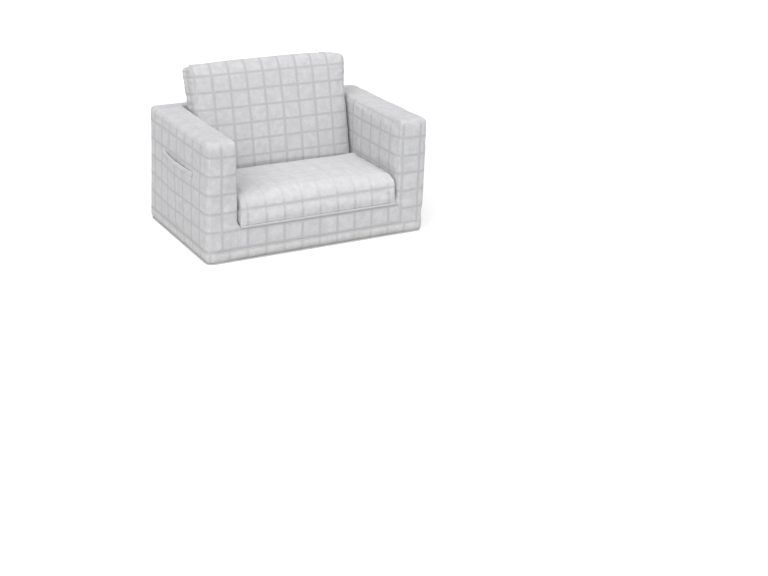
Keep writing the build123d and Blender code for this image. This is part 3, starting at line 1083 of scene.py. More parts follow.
    def ring(self, mesh: bpy.types.Mesh, height: float, inward: float, count: int = 720) -> list[Vector]:
        """A level loop round the cover's outside at one height."""
        tree = tree_of(mesh)
        placed = []
        for turn in range(count):
            angle = math.tau * turn / count
            way = Vector((math.cos(angle), math.sin(angle), 0))
            reach = 1 / max(abs(way.x) / self.half, abs(way.y) / self.rear)
            start = way * (reach + 0.05) + Vector((0, 0, height))
            spot, _, _, _ = tree.ray_cast(start, -way)
            placed.append((spot or start - way * 0.05) - way * inward)
        return evened(placed, 2)

    def rules(self, points: np.ndarray) -> tuple[np.ndarray, np.ndarray]:
        """How firmly each point is held, and how far it may swell."""
        x, y, z = points.T
        across, inset = np.abs(x), self.start_inset
        inside = (across < self.well + 0.012) & (y < self.wall + 0.012)
        held = (z < self.floor + 0.0015) * 1.0
        at_seam = band(z, self.seam - 0.001, self.seam + 0.001, 0.004)
        held = np.maximum(held, at_seam * (~inside | (z < 0.08)))
        cap = np.full(len(points), inset + self.swell)
        right_side = x > self.half - 0.012
        cap[right_side] += self.right_swell * band(z, 0.10, 0.22, 0.08)[right_side]
        cap[x < -self.half + 0.012] = inset - self.hair
        cap[y < self.front + 0.012] = inset + self.front_swell
        held[inside & (z < self.base_top + 0.004) & (z > self.base_top - 0.012)] = 1.0
        walls = inside & (z > self.base_top)
        cap[walls] = inset + self.wall_swell
        cap[walls & ((z < self.beside_pads) | (y > 0.03))] = inset + self.hair
        cap[(across < self.well) & (y < self.front + 0.02) & (z < self.base_top)] = inset + self.base_swell
        held[self.by_zip(points)] = 1.0
        corners = band(across, self.well - 0.002, self.well + 0.002, 0.004)
        corners = corners * band(y, self.wall - 0.002, self.wall + 0.002, 0.004)
        return np.maximum(held, corners), cap

    def shape(self) -> bpy.types.Mesh:
        """The stuffed shell before its cover is cut at the seam."""
        mesh = remeshed(self.block(), self.voxel, 2)
        points = points_of(mesh)
        held, cap = self.rules(points)
        x, y, z = points.T
        recess = (np.abs(x) < self.well + 0.004) & (y < self.front + 0.012) & (z < 0.1)
        out = self.by_zip(points) * (self.start_inset - self.hair)
        points[:, 1] += out
        points[:, 1] += recess * self.recess
        set_points(mesh, self.crisp(points, self.start_inset, 0.012))
        swollen = finer(Swelling(pressure=self.pressure).run(mesh, held, cap))
        set_points(swollen, self.crisp(points_of(swollen), -self.hair, 0.006))
        self.crease(swollen)
        line = tuple(self.ring(swollen, self.seam, 0.0))
        hem = Seam("hem", line, closed=True, valley=0.0011, pucker=0.0005, reach=0.010)
        sew(swollen, [*self.seams(), hem])
        self.flatten_zip(swollen)
        Slot((0, self.rear, self.zip_height), (0, 1, 0), (-1, 0, 0), self.zip_length).press(swollen)
        return swollen

    def crisp(self, points: np.ndarray, inset: float, reach: float) -> np.ndarray:
        """The points with crisp edges where the arms' and the base's fronts meet the well."""
        well, front, top = self.well + inset, self.front + inset, self.base_top - self.hair
        for side in (-1.0, 1.0):
            chosen = (points[:, 2] > self.base_top) & (side * points[:, 0] > 0)
            across, deep = crisper((side * points[:, 0] - well, points[:, 1] - front), reach)
            points[chosen, 0] = side * (well + across[chosen])
            points[chosen, 1] = front + deep[chosen]
        lip = (np.abs(points[:, 0]) < well - 0.002) & (points[:, 2] > self.base_top - 0.02)
        deep, down = crisper((points[:, 1] - front, top - points[:, 2]), reach)
        points[lip, 1] = front + deep[lip]
        points[lip, 2] = top - down[lip]
        return points

    def flatten_zip(self, mesh: bpy.types.Mesh) -> None:
        """Lays the cover flat round the zip, with a lip on either side of the zip's line."""
        points = points_of(mesh)
        x, y, z = points.T
        share = band(np.abs(x), -1.0, self.zip_length / 2 + 0.004, 0.012)
        share = share * band(z, self.zip_height - 0.009, self.zip_height + 0.009, 0.012)
        share = share * (y > self.rear - 0.012)
        points[:, 1] = y * (1 - share) + (self.rear + zip_lips(z - self.zip_height)) * share
        set_points(mesh, points)

    def crease(self, mesh: bpy.types.Mesh) -> None:
        """Slack folds in the cover, the base's lifted lower edge, and the lean and bow of the arms."""
        points, normals = points_of(mesh), normals_of(mesh)
        shift = np.array([sum(wave.at(place) for wave in self.folds) for place in points])
        x, y, z = points.T
        quiet = (np.abs(x) < self.well + 0.004) & (y < self.wall + 0.004) & (z < self.beside_pads)
        shift[quiet | self.by_zip(points) | (z < 0.010)] = 0.0
        points = points + normals * shift[:, None]
        lift = band(np.abs(x), -1.0, self.well - 0.012, 0.02) * band(y, -1.0, self.front + 0.03, 0.03)
        points[:, 2] += lift * self.base_lift * np.clip((0.03 - z) / 0.03, 0, 1)
        outward = np.clip((-x - self.well - 0.004) / 0.06, 0, 1)
        points[:, 0] += self.left_lean * outward * eased(z, self.seam, self.height)
        aside = np.clip((x - self.well - 0.030) / 0.050, 0, 1)
        points[:, 0] += self.right_bow * aside * band(z, 0.095, 0.230, 0.075)
        set_points(mesh, points)

    def cut_at_seam(self, mesh: bpy.types.Mesh, keep_top: bool) -> bmesh.types.BMesh:
        """One side of the stuffed shell at the seam, closed across the cut."""
        part = bmesh.new()
        part.from_mesh(mesh)
        gap = self.seam_gap if keep_top else -self.seam_gap
        whole = part.verts[:] + part.edges[:] + part.faces[:]
        cut = bmesh.ops.bisect_plane(
            part, geom=whole, plane_co=(0, 0, self.seam + gap), plane_no=(0, 0, 1),
            clear_inner=keep_top, clear_outer=not keep_top,
        )
        rim = [edge for edge in cut["geom_cut"] if isinstance(edge, bmesh.types.BMEdge)]
        filled = bmesh.ops.holes_fill(part, edges=rim, sides=0)
        bmesh.ops.recalc_face_normals(part, faces=part.faces)
        for face in filled["faces"]:
            face.smooth = False
        return part

    def build(self) -> None:
        """Makes the cover, the band, the piping, the bottom cord and the panel seams' cords."""
        swollen = self.shape()
        self.skin_tree = tree_of(swollen)
        cover = piece_from(self.cut_at_seam(swollen, True), "shell_skin")
        points = points_of(cover.data)
        # Painted glare on the faces towards the light; the well's floor, in the shade of the arms and back,
        # takes about half of it.
        in_well = (np.abs(points[:, 0]) < self.well + 0.004) & (points[:, 2] < self.base_top + 0.01)
        glare = upward(cover.data) * np.where(in_well, 0.55, 1.0)
        mark_cloth(cover.data, glare, (-0.0012, 0.0, 0.088), SHELL_STRETCH)
        self.shift_arm_lines(cover.data)
        clothed(
            cover, self.body, Finish.CHECK,
            "shell_cover", "left_arm_foam", "right_arm_foam", "back_foam", "base_foam",
        )
        low = piece_from(self.cut_at_seam(swollen, False), "band_skin")
        # Painted glare on the band's upward faces.
        mark_cloth(low.data, upward(low.data), (-0.0012, 0.0, 0.0))
        clothed(low, self.body, Finish.BAND_CHECK, "bottom_band")
        cord = tube(self.ring(swollen, self.seam, -self.hair), self.piping, "piping_cord", True)
        clothed(cord, self.body, Finish.PIPING, "seam_piping")
        edge = tube(self.ring(swollen, self.edge_height, 0.0008), self.edge_cord, "bottom_edge_cord", True)
        clothed(edge, self.body, Finish.PIPING)
        run_cords(swollen, self.seams(), self.body)


@dataclass
class Pad:
    """A loose pad of the mattress: a closed form of foam in a sewn sleeve.

    Each pad has its own frame: x across, y along the pad and z through it.
    """

    name: str
    body: str
    nodes: tuple[str, ...]
    panel_middle: tuple[float, float]
    panel_reach: tuple[float, float]
    crown_middle: float
    crown_reach: float
    crown_low: float
    crown_high: float
    crown: float
    swell: float
    cloth: Finish = Finish.SEAT_CHECK
    half: float = 0.2366
    voxel: float = 0.0050
    inset: float = 0.0026
    panel_inset: float = 0.0035
    soft: Wave = Wave(0.0010, (8, 8, 8), (0, 0, 5))
    ruck: Wave = Wave(0.0024, (14, 70, 10))
    edge: Wave = Wave(0.0009, (20, 40, 20))

    def place(self) -> Matrix:
        """Brings the pad's own frame to the row's."""
        return Matrix.Identity(4)

    def block(self) -> bmesh.types.BMesh:
        """The plain pad, in its own frame."""
        raise NotImplementedError

    def held(self, points: np.ndarray) -> np.ndarray:
        """Which points don't swell."""
        raise NotImplementedError

    def mark(self, mesh: bpy.types.Mesh) -> None:
        """Stores the check's lines on the pad."""
        raise NotImplementedError

    def squared(self, points: np.ndarray, inset: float, reach: float) -> np.ndarray:
        """The points with the edges sharpened where the pad meets its neighbours."""
        return points

    def fit_zip(self, mesh: bpy.types.Mesh) -> None:
        """Makes room for a zip, where the pad has one."""

    def limit(self, points: np.ndarray) -> np.ndarray:
        """Keeps the pad inside the room that its neighbours leave."""
        points[:, 0] = np.clip(points[:, 0], -self.half, self.half)
        return points

    def crowned(self, points: np.ndarray) -> np.ndarray:
        """The points with the sitting face raised towards its middle."""
        x, y, z = points.T
        rise = hump(x / self.half) * hump((y - self.crown_middle) / self.crown_reach)
        share = np.clip((z - self.crown_low) / (self.crown_high - self.crown_low), 0, 1)
        points[:, 2] = z + self.crown * rise * share
        return points

    def crease(self, points: np.ndarray, normals: np.ndarray) -> np.ndarray:
        """The points with slack folds, deepest on the narrow side panels."""
        shift = np.zeros(len(points))
        for index, ((x, y, z), facing) in enumerate(zip(points, normals)):
            side = max(0.0, abs(facing[0]) - 0.35) / 0.65
            near_end = math.exp(-(((abs(x) - self.half + 0.02) / 0.03) ** 2))
            shift[index] = self.soft.at((x, y, z)) + self.ruck.at((z, y, x)) * side
            shift[index] += self.edge.at((x, y, z)) * near_end
        return points + normals * shift[:, None]

    def panel_line(self, side: float, count: int = 240) -> list[Vector]:
        """The seam of one side panel, a loop just inside the end's rounding."""
        middle = Vector((side * (self.half - self.panel_inset), *self.panel_middle))
        along, through = self.panel_reach
        loop = []
        for turn in range(count):
            angle = math.tau * turn / count
            way = Vector((0, math.cos(angle), math.sin(angle)))
            loop.append(middle + way * (1 / max(abs(way.y) / along, abs(way.z) / through)))
        return loop

    def build(self) -> None:
        """Makes the stuffed pad and its side seams."""
        mesh = remeshed(self.block(), self.voxel, 1)
        set_points(mesh, self.crowned(self.squared(points_of(mesh), self.inset, 0.012)))
        points = points_of(mesh)
        cap = np.full(len(points), self.inset + self.swell)
        swollen = finer(Swelling().run(mesh, self.held(points) * 1.0, cap))
        set_points(swollen, self.crease(points_of(swollen), normals_of(swollen)))
        tree = tree_of(swollen)
        seams = []
        for side, word in ((-1.0, "left"), (1.0, "right")):
            line = tuple(laid_on(tree, self.panel_line(side), 0.0, 3))
            seams.append(Seam(f"{self.name}_seam_{word}", line, closed=True, valley=0.0007, pucker=0.0008))
        sew(swollen, seams)
        set_points(swollen, self.limit(self.squared(points_of(swollen), 0.0, 0.006)))
        self.fit_zip(swollen)
        swollen.transform(self.place())
        piece = piece_from(swollen, self.name)
        self.mark(swollen)
        clothed(piece, self.body, self.cloth, *self.nodes)
        placed = [replace(seam, path=tuple(self.place() @ point for point in seam.path)) for seam in seams]
        run_cords(swollen, placed, self.body)


@dataclass
class SeatPad(Pad):
    """The pad that is sat on, and that flips forward over the base's front edge."""

    name: str = "seat_skin"
    body: str = "seat_pad"
    nodes: tuple[str, ...] = ("seat_cover", "seat_foam")
    panel_middle: tuple[float, float] = (-0.0860, 0.1353)
    panel_reach: tuple[float, float] = (0.120, 0.038)
    crown_middle: float = -0.0940
    crown_reach: float = 0.1255
    crown_low: float = 0.1143
    crown_high: float = 0.1763
    crown: float = 0.010
    swell: float = 0.0006
    front: float = -0.2115
    rear: float = 0.0395
    low: float = 0.0943
    high: float = 0.1763
    start_lift: float = 0.0006
    room_front: float = 0.0012
    room_rear: float = 0.0004
    room_high: float = 0.1880

    def block(self) -> bmesh.types.BMesh:
        """A box with a large round along its front top edge and small ones elsewhere."""
        half, low, high = self.half - self.inset, self.low + self.start_lift, self.high - self.inset
        front, rear = self.front + self.inset, self.rear - self.inset
        rounds = ((front, high, 0.035, 8), (rear, high, 0.013, 6), (rear, low, 0.009, 6))
        return rounded_box((-half, front, low), (half, rear, high), rounds, 0.0045, 3)

    def squared(self, points: np.ndarray, inset: float, reach: float) -> np.ndarray:
        """The points with crisp ends and a crisp lower front edge."""
        half, front, low = self.half - inset, self.front + inset, self.low + self.start_lift
        for side in (-1.0, 1.0):
            chosen = side * points[:, 0] > 0
            across, deep = crisper((half - side * points[:, 0], points[:, 1] - front), reach)
            points[chosen, 0] = side * (half - across[chosen])
            points[chosen, 1] = front + deep[chosen]
        deep, up = crisper((points[:, 1] - front, points[:, 2] - low), reach)
        points[:, 1] = front + deep
        points[:, 2] = low + up
        return points

    def held(self, points: np.ndarray) -> np.ndarray:
        """The underside is held flat."""
        return points[:, 2] < self.low + 0.0025

    def limit(self, points: np.ndarray) -> np.ndarray:
        """Keeps the pad off the base, the arms, the backrest and, when flipped, the floor."""
        points = super().limit(points)
        points[:, 1] = np.clip(points[:, 1], self.front - self.room_front, self.rear + self.room_rear)
        points[:, 2] = np.clip(points[:, 2], self.low, self.room_high)
        return points

    def mark(self, mesh: bpy.types.Mesh) -> None:
        """The check runs on from the base's front, with its first line at the fold."""
        # Painted glare on the upward faces and on the underside, which faces the light when the pad is
        # flipped open.
        mark_cloth(mesh, np.maximum(upward(mesh), 0.6 * underneath(mesh)), SEAT_LINES)


@dataclass
class BackrestPad(Pad):
    """The pad that leans on the back, and that unfolds in line with the seat pad."""

    name: str = "backrest_skin"
    body: str = "backrest_pad"
    nodes: tuple[str, ...] = ("backrest_cover", "backrest_foam")
    cloth: Finish = Finish.BACK_CHECK
    panel_middle: tuple[float, float] = (0.136, 0.0)
    panel_reach: tuple[float, float] = (0.160, 0.040)
    crown_middle: float = 0.155
    crown_reach: float = 0.165
    crown_low: float = -0.010
    crown_high: float = 0.042
    crown: float = 0.007
    swell: float = 0.0008
    reach: float = 0.311
    thick: float = 0.042
    root: float = 0.0405
    pivot: Point = (0.0, 0.08104, 0.1363)
    lean: float = math.radians(12.5)
    dome: float = 0.0112
    shoulder: float = 0.0038
    zip_level: float = -0.012
    zip_length: float = 0.380

    def place(self) -> Matrix:
        """x across, y up along the pad from its pivot, z out of its front."""
        up = Vector((0, math.sin(self.lean), math.cos(self.lean)))
        out = Vector((0, -math.cos(self.lean), math.sin(self.lean)))
        turn = Matrix((Vector((1, 0, 0)), up, out)).transposed().to_4x4()
        return Matrix.Translation(self.pivot) @ turn

    def block(self) -> bmesh.types.BMesh:
        """A box with a half round lower end and soft edges."""
        half, thick = self.half - self.inset, self.thick - self.inset
        root, top = self.root - self.inset, self.reach - self.inset
        lower = root * 0.97
        rounds = (
            (-root, thick, lower, 8), (-root, -thick, lower, 8),
            (top, thick, 0.020, 6), (top, -thick, 0.016, 6),
        )
        return rounded_box((-half, -root, -thick), (half, top, thick), rounds, 0.012, 5)

    def by_zip(self, points: np.ndarray) -> np.ndarray:
        """Which points lie on the strip of the far end that the zip is sewn to."""
        x, y, z = points.T
        return (y > self.reach - 0.01) & (np.abs(x) < 0.21) & (z < 0.004) & (z > -0.028)

    def held(self, points: np.ndarray) -> np.ndarray:
        """The zip's strip on the far end is held."""
        return self.by_zip(points)

    def limit(self, points: np.ndarray) -> np.ndarray:
        """Keeps the pad off its neighbours and, when flat, the floor, and domes its far end."""
        points = super().limit(points)
        x, y, z = points.T
        lead = 0.0404 + 0.0016 * np.clip(y / 0.03, 0, 1)
        crown = 0.0092 * np.clip((y - 0.02) / 0.03, 0, 1)
        points[:, 2] = np.clip(z, -lead - 0.0004 * (y > 0.03), lead + crown)
        away = np.hypot(y, z)
        share = np.where((y < 0) & (away > self.root), self.root / np.maximum(away, 1e-6), 1.0)
        points[:, 1] = y * share
        points[:, 2] = z * share
        strip = self.by_zip(points)
        points[strip, 1] = self.reach + zip_lips(z - self.zip_level)[strip]
        points[:, 1] = np.minimum(y, self.reach + 0.002)
        dome = hump(x / self.half, 5.0) * band(z, 0.014, 1.0, 0.015)
        points[:, 1] += self.dome * dome * eased(y, self.reach - 0.05, self.reach)
        points[:, 0] = x * (1 + self.shoulder / self.half * eased(y, 0.206, 0.268))
        return points

    def fit_zip(self, mesh: bpy.types.Mesh) -> None:
        """Presses the slot for the zip into the far end."""
        Slot((0, self.reach, self.zip_level), (0, 1, 0), (1, 0, 0), self.zip_length).press(mesh)

    def mark(self, mesh: bpy.types.Mesh) -> None:
        """The check follows the pad's own lean."""
        across, up, out = self.place().to_3x3().transposed()
        # Painted glare on the back face, which faces the light when the pad is unfolded.
        mark_cloth(
            mesh, 0.7 * underneath(mesh, tuple(out)), (0.0235, 0.012, 0.0075), (0.955, 0.9, 0.855),
            Matrix((across, out, up)), self.pivot,
        )


@dataclass
class Pocket:
    """The patch pocket on the left arm, with its bound mouth."""

    front: float = -0.110
    rear: float = 0.095
    low: float = 0.045
    front_mouth: float = 0.225
    rear_mouth: float = 0.230
    sag: float = 0.0008
    bulge: float = 0.0062
    stand: float = 0.0004
    thick: float = 0.0012
    arm_x: float = -0.3290
    tape_width: float = 0.011
    tape_thick: float = 0.0011
    tape_stand: float = 0.0006
    tape_puff: float = 0.0016
    stitch_rows: tuple[float, ...] = (0.0037, 0.0073)
    stitch_size: Point = (0.0011, 0.00045, 0.00035)
    stitch_count: int = 62
    long_folds: Wave = Wave(0.0022, (5, 2.2, 1), (0, 0, 4))
    short_folds: Wave = Wave(0.0010, (16, 3, 1), (0, 0, 9))
    body: str = "shell"

    def mouth(self, share: float) -> float:
        """The mouth's height at a share of the way from front to rear."""
        straight = self.front_mouth + (self.rear_mouth - self.front_mouth) * share
        return straight - self.sag * 4 * share * (1 - share)

    def rise_at(self, share: float, drop: float) -> float:
        """How far up the pocket a place lies that is a drop below the mouth, as a share."""
        height = self.mouth(share)
        return (height - drop - self.low) / (height - self.low)

    def spot(self, share: float, rise: float, tree: BVHTree) -> Vector:
        """A place on the pocket, off the stuffed arm by the pocket's own bulge."""
        span = self.rear - self.front
        y = self.front + span * share
        z = self.low + (self.mouth(share) - self.low) * rise
        hit, _, _, _ = tree.ray_cast(Vector((self.arm_x - 0.05, y, z)), Vector((1, 0, 0)))
        skin = hit.x if hit else self.arm_x
        belly = share * (1 - share)
        stand = self.bulge * 4 * belly * (rise ** 1.4) + self.stand
        fold = (share, rise, 0.0)
        ruck = self.long_folds.at(fold) * rise + self.short_folds.at(fold)
        edge = min(1.0, 12 * belly, 6 * rise)
        away = min(share * span, (1 - share) * span, z - self.low)
        stitch = 0.0007 * math.exp(-(((away - 0.0045) / 0.0016) ** 2))
        return Vector((skin - stand - abs(ruck) * edge + stitch, y, z))

    def build(self, tree: BVHTree) -> None:
        """Makes the pocket, its binding and its stitches on the stuffed arm."""
        form = unit_grid(110, 100)
        for vert in form.verts:
            vert.co = self.spot(vert.co.x + 0.5, vert.co.y + 0.5, tree)
        patch = piece_from(thickened(form, self.thick, (-1, 0, 0)), "pocket_patch")
        # Painted glare on the pocket's upward faces.
        mark_cloth(patch.data, upward(patch.data), (-0.0012, 0.002, 0.0865), SHELL_STRETCH)
        clothed(patch, self.body, Finish.CHECK, "side_pocket")
        self.bind(tree)
        for row, drop in enumerate(self.stitch_rows):
            self.stitch(tree, row, drop)

    def bind(self, tree: BVHTree) -> None:
        """Makes the folded tape over the mouth."""
        form = unit_grid(90, 18)
        for vert in form.verts:
            share, up = vert.co.x + 0.5, vert.co.y + 0.5
            rise = self.rise_at(share, self.tape_width * (1 - up))
            puff = self.tape_puff * abs(math.sin(3 * math.pi * min(1.0, max(0.0, up)))) ** 0.7
            off = Vector((-self.tape_stand - puff, 0, 0.0003 * up))
            vert.co = self.spot(share, min(rise, 1.0), tree) + off
        tape = piece_from(thickened(form, self.tape_thick, (-1, 0, 0)), "pocket_tape")
        clothed(tape, self.body, Finish.BINDING, "pocket_binding")

    def stitch(self, tree: BVHTree, row: int, drop: float) -> None:
        """Makes one row of stitches along the tape, a drop below the mouth."""
        stitches = bmesh.new()
        off, size = Vector((-0.0013, 0, 0)), Matrix.Diagonal((*self.stitch_size, 1.0))
        for step in range(self.stitch_count):
            share = (step + 0.5) / self.stitch_count
            rise = self.rise_at(share, drop)
            spot = self.spot(share, rise, tree) + off
            ahead = self.spot(min(1.0, share + 0.01), rise, tree) + off
            turn = (ahead - spot).normalized().to_track_quat("X", "Z").to_matrix().to_4x4()
            bmesh.ops.create_icosphere(
                stitches, subdivisions=1, radius=1.0, matrix=Matrix.Translation(spot) @ turn @ size
            )
        clothed(piece_from(stitches, f"pocket_stitches_{row}"), self.body, Finish.THREAD)


@dataclass
class FrontFold:
    """The cloth between the base's top and the seat pad's underside, folded at the front edge."""

    half: float = 0.2350
    hinge_y: float = -0.212
    hinge_z: float = 0.09415
    leaf: float = 0.020
    gap: float = 0.0004
    thick: float = 0.0002
    turn: float = 0.00015
    bead: float = 0.0014
    bead_height: float = 0.0032
    narrowing: float = 0.006

    def profile(self, along: float) -> tuple[float, float]:
        """Depth and height of the strip, from the base's leaf at -1 round the bead to the pad's leaf at 1."""
        side = 1.0 if along > 0 else -1.0
        run = abs(along) * self.leaf
        around = (self.bead + self.bead_height) / 2
        last = math.pi - math.asin(self.gap / self.bead_height)
        angle = min(run / around, last)
        depth = self.hinge_y - self.bead * math.cos(angle) + run - angle * around
        return depth, self.hinge_z + side * self.bead_height * math.sin(angle)

    def build(self) -> None:
        """Makes the folded strip at the front hinge."""
        form = unit_grid(90, 56)
        layer = form.verts.layers.float_vector.new(CLOTH)
        facing = form.verts.layers.float_vector.new(FACING)
        glare_layer = form.verts.layers.float.new(GLARE)
        for vert in form.verts:
            along = math.copysign(abs(vert.co.y * 2) ** 1.8, vert.co.y)
            drawn_in = self.narrowing * eased(np.array(abs(along)), 0.3, 1.0).item()
            x = vert.co.x * 2 * (self.half - drawn_in)
            vert[layer] = Vector((x + 0.0012, along * self.leaf, 0.026))
            vert[facing] = Vector((0, 0, -1))
            # An even half share of painted glare over the whole strip.
            vert[glare_layer] = 0.5
            vert.co = Vector((x, *self.profile(along)))
        strip = piece_from(thickened(form, self.thick), "front_fold")
        BOOK.dress(strip, Finish.SEAT_CHECK)
        start = (0.0, self.hinge_y, self.hinge_z - self.turn)
        end = (0.0, self.hinge_y, self.hinge_z + self.turn)
        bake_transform(strip)
        2 * self.half
        LOG.info("%s: %d faces across the front hinge", strip.name, len(strip.data.polygons))


@dataclass
class RearFold:
    """The cloth that joins the two pads: flat below, gathered up into the hollow between them."""

    half: float = 0.2345
    front: float = 0.0300
    rear: float = 0.0808
    low: float = 0.0943
    thick: float = 0.0008
    gather: float = 0.0095
    seat_rear: float = 0.0402
    pivot_y: float = 0.08104
    pivot_z: float = 0.1363
    root: float = 0.0410
    steps: int = 14

    def outline(self) -> list[tuple[float, float]]:
        """The strip's section, from its front lower edge round to its front upper one."""
        made = [(self.front, self.low), (self.rear - 0.008, self.low), (self.rear, self.low + 0.0005)]
        for step in range(self.steps + 1):
            y = self.rear + (self.seat_rear - self.rear) * step / self.steps
            hollow = self.pivot_z - math.sqrt(max(0.0, self.root ** 2 - (y - self.pivot_y) ** 2))
            made.append((y, min(self.low + self.gather, hollow)))
        return [*made, (self.seat_rear - 0.0003, self.low + self.thick), (self.front, self.low + self.thick)]

    def build(self) -> None:
        """Makes the strip in place of its plain plate, drawn in at its ends towards the rear."""
        form = bmesh.new()
        section = form.faces.new([form.verts.new((-self.half, y, z)) for y, z in self.outline()])
        drawn = bmesh.ops.extrude_face_region(form, geom=[section])
        moved = [part for part in drawn["geom"] if isinstance(part, bmesh.types.BMVert)]
        bmesh.ops.translate(form, verts=moved, vec=(2 * self.half, 0, 0))
        bmesh.ops.recalc_face_normals(form, faces=form.faces)
        for vert in form.verts:
            share = (vert.co.y - self.front) / (self.rear - self.front)
            vert.co.x -= math.copysign(share * (0.004 + 0.013 * share), vert.co.x)
        strip = piece_from(form, "rear_fold", smooth=False)
        # Painted glare on the faces away from the sitting side, which face the light when the pads are open.
        mark_cloth(strip.data, 0.6 * underneath(strip.data), SEAT_LINES)
        clothed(strip, "seat_pad", Finish.SEAT_CHECK, "hinge_flap")


@dataclass
class Zip:
    """A closed coil zip along one straight line, with its slider parked under a cloth hood.

    Its own frame has x along the zip and z out of the cover.
    """

    prefix: str
    body: str
    turn: Matrix
    length: float
    slider_at: float
    pitch: float = 0.0014
    coil_size: Point = (0.0009, 0.0022, 0.0008)
    coil_aside: float = 0.0004
    coil_height: float = 0.0001
    slider_slabs: tuple[tuple[float, Point, float], ...] = (
        (0.0013, (0.0090, 0.0056, 0.0008), 0.0003),
        (0.0019, (0.0050, 0.0018, 0.0008), 0.0003),
        (0.0008, (0.0046, 0.0010, 0.0006), 0.0002),
    )
    hood_span: tuple[float, float] = (-0.0035, 0.0115)
    hood_half: float = 0.0068
    hood_low: float = 0.0007
    hood_rise: float = 0.0021
    hood_thick: float = 0.0005

    def put(self, form: bmesh.types.BMesh, name: str) -> bpy.types.Object:
        """A form in the zip's own frame, brought to its place."""
        bmesh.ops.transform(form, matrix=self.turn, verts=form.verts)
        bmesh.ops.recalc_face_normals(form, faces=form.faces)
        return piece_from(form, f"{self.prefix}_{name}")

    def build(self) -> None:
        """Makes the coil's turns, the slider and its hood."""
        turns = bmesh.new()
        count = int((self.length - 0.004) / self.pitch)
        for index in range(count):
            along = (index - (count - 1) / 2) * self.pitch
            aside = self.coil_aside if index % 2 else -self.coil_aside
            middle = Matrix.Translation((along, aside, self.coil_height))
            bmesh.ops.create_cube(turns, size=1.0, matrix=middle @ Matrix.Diagonal((*self.coil_size, 1.0)))
        clothed(self.put(turns, "coil_turns"), self.body, Finish.ZIP_COIL, f"{self.prefix}_zip_coil")
        slider, node = bmesh.new(), f"{self.prefix}_zip_slider"
        for height, size, radius in self.slider_slabs:
            place = Matrix.Translation((self.slider_at, 0, height)) @ Matrix.Diagonal((*size, 1.0))
            cube = bmesh.ops.create_cube(slider, size=1.0, matrix=place)
            edges = dict.fromkeys(edge for vert in cube["verts"] for edge in vert.link_edges)
            bevelled(slider, list(edges), radius, 3)
        clothed(self.put(slider, "slider_body"), node, Finish.ZIP_METAL, node)
        self.garage()

    def garage(self) -> None:
        """Makes a small cloth hood over the parked slider, open towards the zip."""
        start, end = (self.slider_at + reach for reach in self.hood_span)
        form = unit_grid(14, 16)
        for vert in form.verts:
            share, aside = vert.co.x + 0.5, vert.co.y * 2
            close = 1 - max(0.0, (share - 0.62) / 0.38) ** 2.2
            rise = max(0.0, 1 - abs(aside) ** 3.2) * close
            height = self.hood_low + self.hood_rise * rise
            vert.co = Vector((start + (end - start) * share, aside * self.hood_half, height))
        hood = self.put(thickened(form, -self.hood_thick, (0, 0, 1)), "slider_hood")
        clothed(hood, self.body, Finish.HOOD, f"{self.prefix}_zip_garage")


@dataclass
class Trims:
    """The nodes that are shown as they are, each in its finish."""

    finishes: tuple[tuple[str, Finish], ...] = (
        ("bottom_panel", Finish.BASE),
        ("shell_zip_tape", Finish.ZIP_TAPE),
        ("mattress_zip_tape", Finish.ZIP_TAPE),
    )

    def build(self) -> None:
        """Dresses each node."""
        for node, finish in self.finishes:
            BOOK.dress(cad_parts[node], finish)


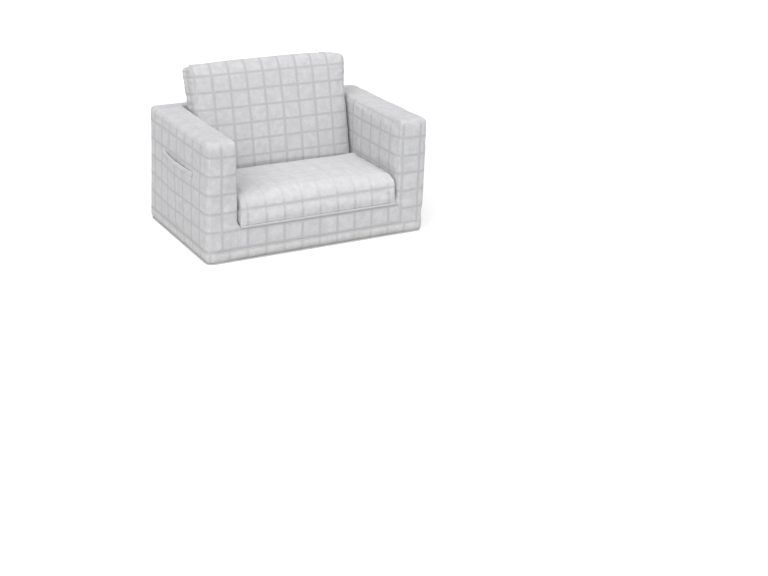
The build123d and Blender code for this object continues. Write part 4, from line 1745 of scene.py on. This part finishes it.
@dataclass
class Studio:
    """Floor, lamps and the camera at the photograph's place."""

    azimuth: float = math.radians(-30.892)
    elevation: float = math.radians(22.970)
    roll: float = math.radians(2.364)
    offset: Point = (-0.17226, 0.10864, 3.59073)
    front: float = -0.212
    lens: float = 62.13
    paper: float = 0.62
    glow: float = 0.42
    sky_light: float = 0.56
    lamps: tuple[tuple[str, Point, float, float], ...] = (
        ("left", (-0.56, -0.40, 0.725), 1.80, 60),
        ("front", (0.25, -0.80, 0.545), 0.78, 70),
        ("top", (0.0, 0.0, 1.0), 0.28, 80),
    )

    def add(self, name: str, data: Any, matrix: Matrix) -> bpy.types.Object:
        """Adds a lamp or a camera to the scene at its place."""
        holder = bpy.data.objects.new(name, data)
        holder.matrix_world = matrix
        bpy.context.scene.collection.objects.link(holder)
        return holder

    def camera(self) -> None:
        """Places the camera; the offset is the front's middle as the camera sees it."""
        a, e, r = self.azimuth, self.elevation, self.roll
        back = Vector((math.sin(a) * math.cos(e), -math.cos(a) * math.cos(e), math.sin(e)))
        level = (-back).cross(Vector((0, 0, 1))).normalized()
        above = level.cross(-back)
        right = level * math.cos(r) + above * math.sin(r)
        up = above * math.cos(r) - level * math.sin(r)
        aside, over, away = self.offset
        place = Vector((0, self.front, 0)) - right * aside - up * over + back * away
        lens = bpy.data.cameras.new("camera")
        lens.lens = self.lens
        lens.sensor_width = 36.0
        lens.clip_end = 60.0
        turn = Matrix((right, up, back)).transposed().to_4x4()
        bpy.context.scene.camera = self.add("camera", lens, Matrix.Translation(place) @ turn)

    def lamp(self, name: str, way: Point, power: float, spread: float) -> None:
        """One wide far lamp; its light comes from the way's end, and its spread is in degrees."""
        light = bpy.data.lights.new(name, "SUN")
        light.angle = math.radians(spread)
        light.energy = power
        aim = (-Vector(way)).to_track_quat("-Z", "Y").to_matrix().to_4x4()
        self.add(name, light, Matrix.Translation(Vector(way) * 3) @ aim)

    def floor(self) -> None:
        """A pale floor that keeps the sofa's shadow and shows white to the camera."""
        form = bmesh.new()
        bmesh.ops.create_grid(form, x_segments=1, y_segments=1, size=30.0)
        floor = piece_from(form, "floor", smooth=False)
        w = new_material("floor_white")
        paper = w.out(
            w.node("BsdfPrincipled", Base_Color=grey(self.paper), Roughness=0.9, Specular_IOR_Level=0.1)
        )
        glow = w.out(w.node("Emission", Color=grey(1.0), Strength=self.glow))
        both = w.out(w.node("AddShader", Shader=paper, Shader_001=glow))
        seen = w.out(w.node("LightPath"), "Is Camera Ray")
        w.node("OutputMaterial", Surface=w.out(w.node("MixShader", Fac=seen, Shader=paper, Shader_001=both)))
        floor.data.materials.append(w.owner)

    def sky(self) -> None:
        """Even light from all round, white to the camera and to glossy things."""
        w = Weaver(bpy.data.worlds.new("studio"))
        bpy.context.scene.world = w.owner
        soft = w.out(w.node("Background", Color=grey(1.0), Strength=self.sky_light))
        white = w.out(w.node("Background", Color=grey(1.0), Strength=1.0))
        path = w.node("LightPath")
        seen = w.out(path, "Is Camera Ray").most(w.out(path, "Is Glossy Ray"))
        w.node("OutputWorld", Surface=w.out(w.node("MixShader", Fac=seen, Shader=soft, Shader_001=white)))

    def build(self) -> None:
        """Sets up the whole studio."""
        self.camera()
        self.floor()
        self.sky()
        for lamp in self.lamps:
            self.lamp(*lamp)
        bpy.context.scene.view_settings.view_transform = "Standard"


def main() -> None:
    """Builds each part of the sofa in order, then the studio."""
    shell = Shell()
    shell.build()
    SeatPad().build()
    backrest = BackrestPad()
    backrest.build()
    back_zip = Matrix(((-1, 0, 0, 0), (0, 0, 1, shell.depth / 2), (0, 1, 0, shell.zip_height), (0, 0, 0, 1)))
    Zip("shell", "shell", back_zip, shell.zip_length, 0.2052).build()
    end = Matrix(((1, 0, 0, 0), (0, 0, 1, backrest.reach), (0, -1, 0, backrest.zip_level), (0, 0, 0, 1)))
    Zip("mattress", "backrest_pad", backrest.place() @ end, backrest.zip_length, 0.1852).build()
    Pocket().build(shell.skin_tree)
    FrontFold().build()
    RearFold().build()
    Trims().build()
    Studio().build()


if __name__ == "__main__":
    main()
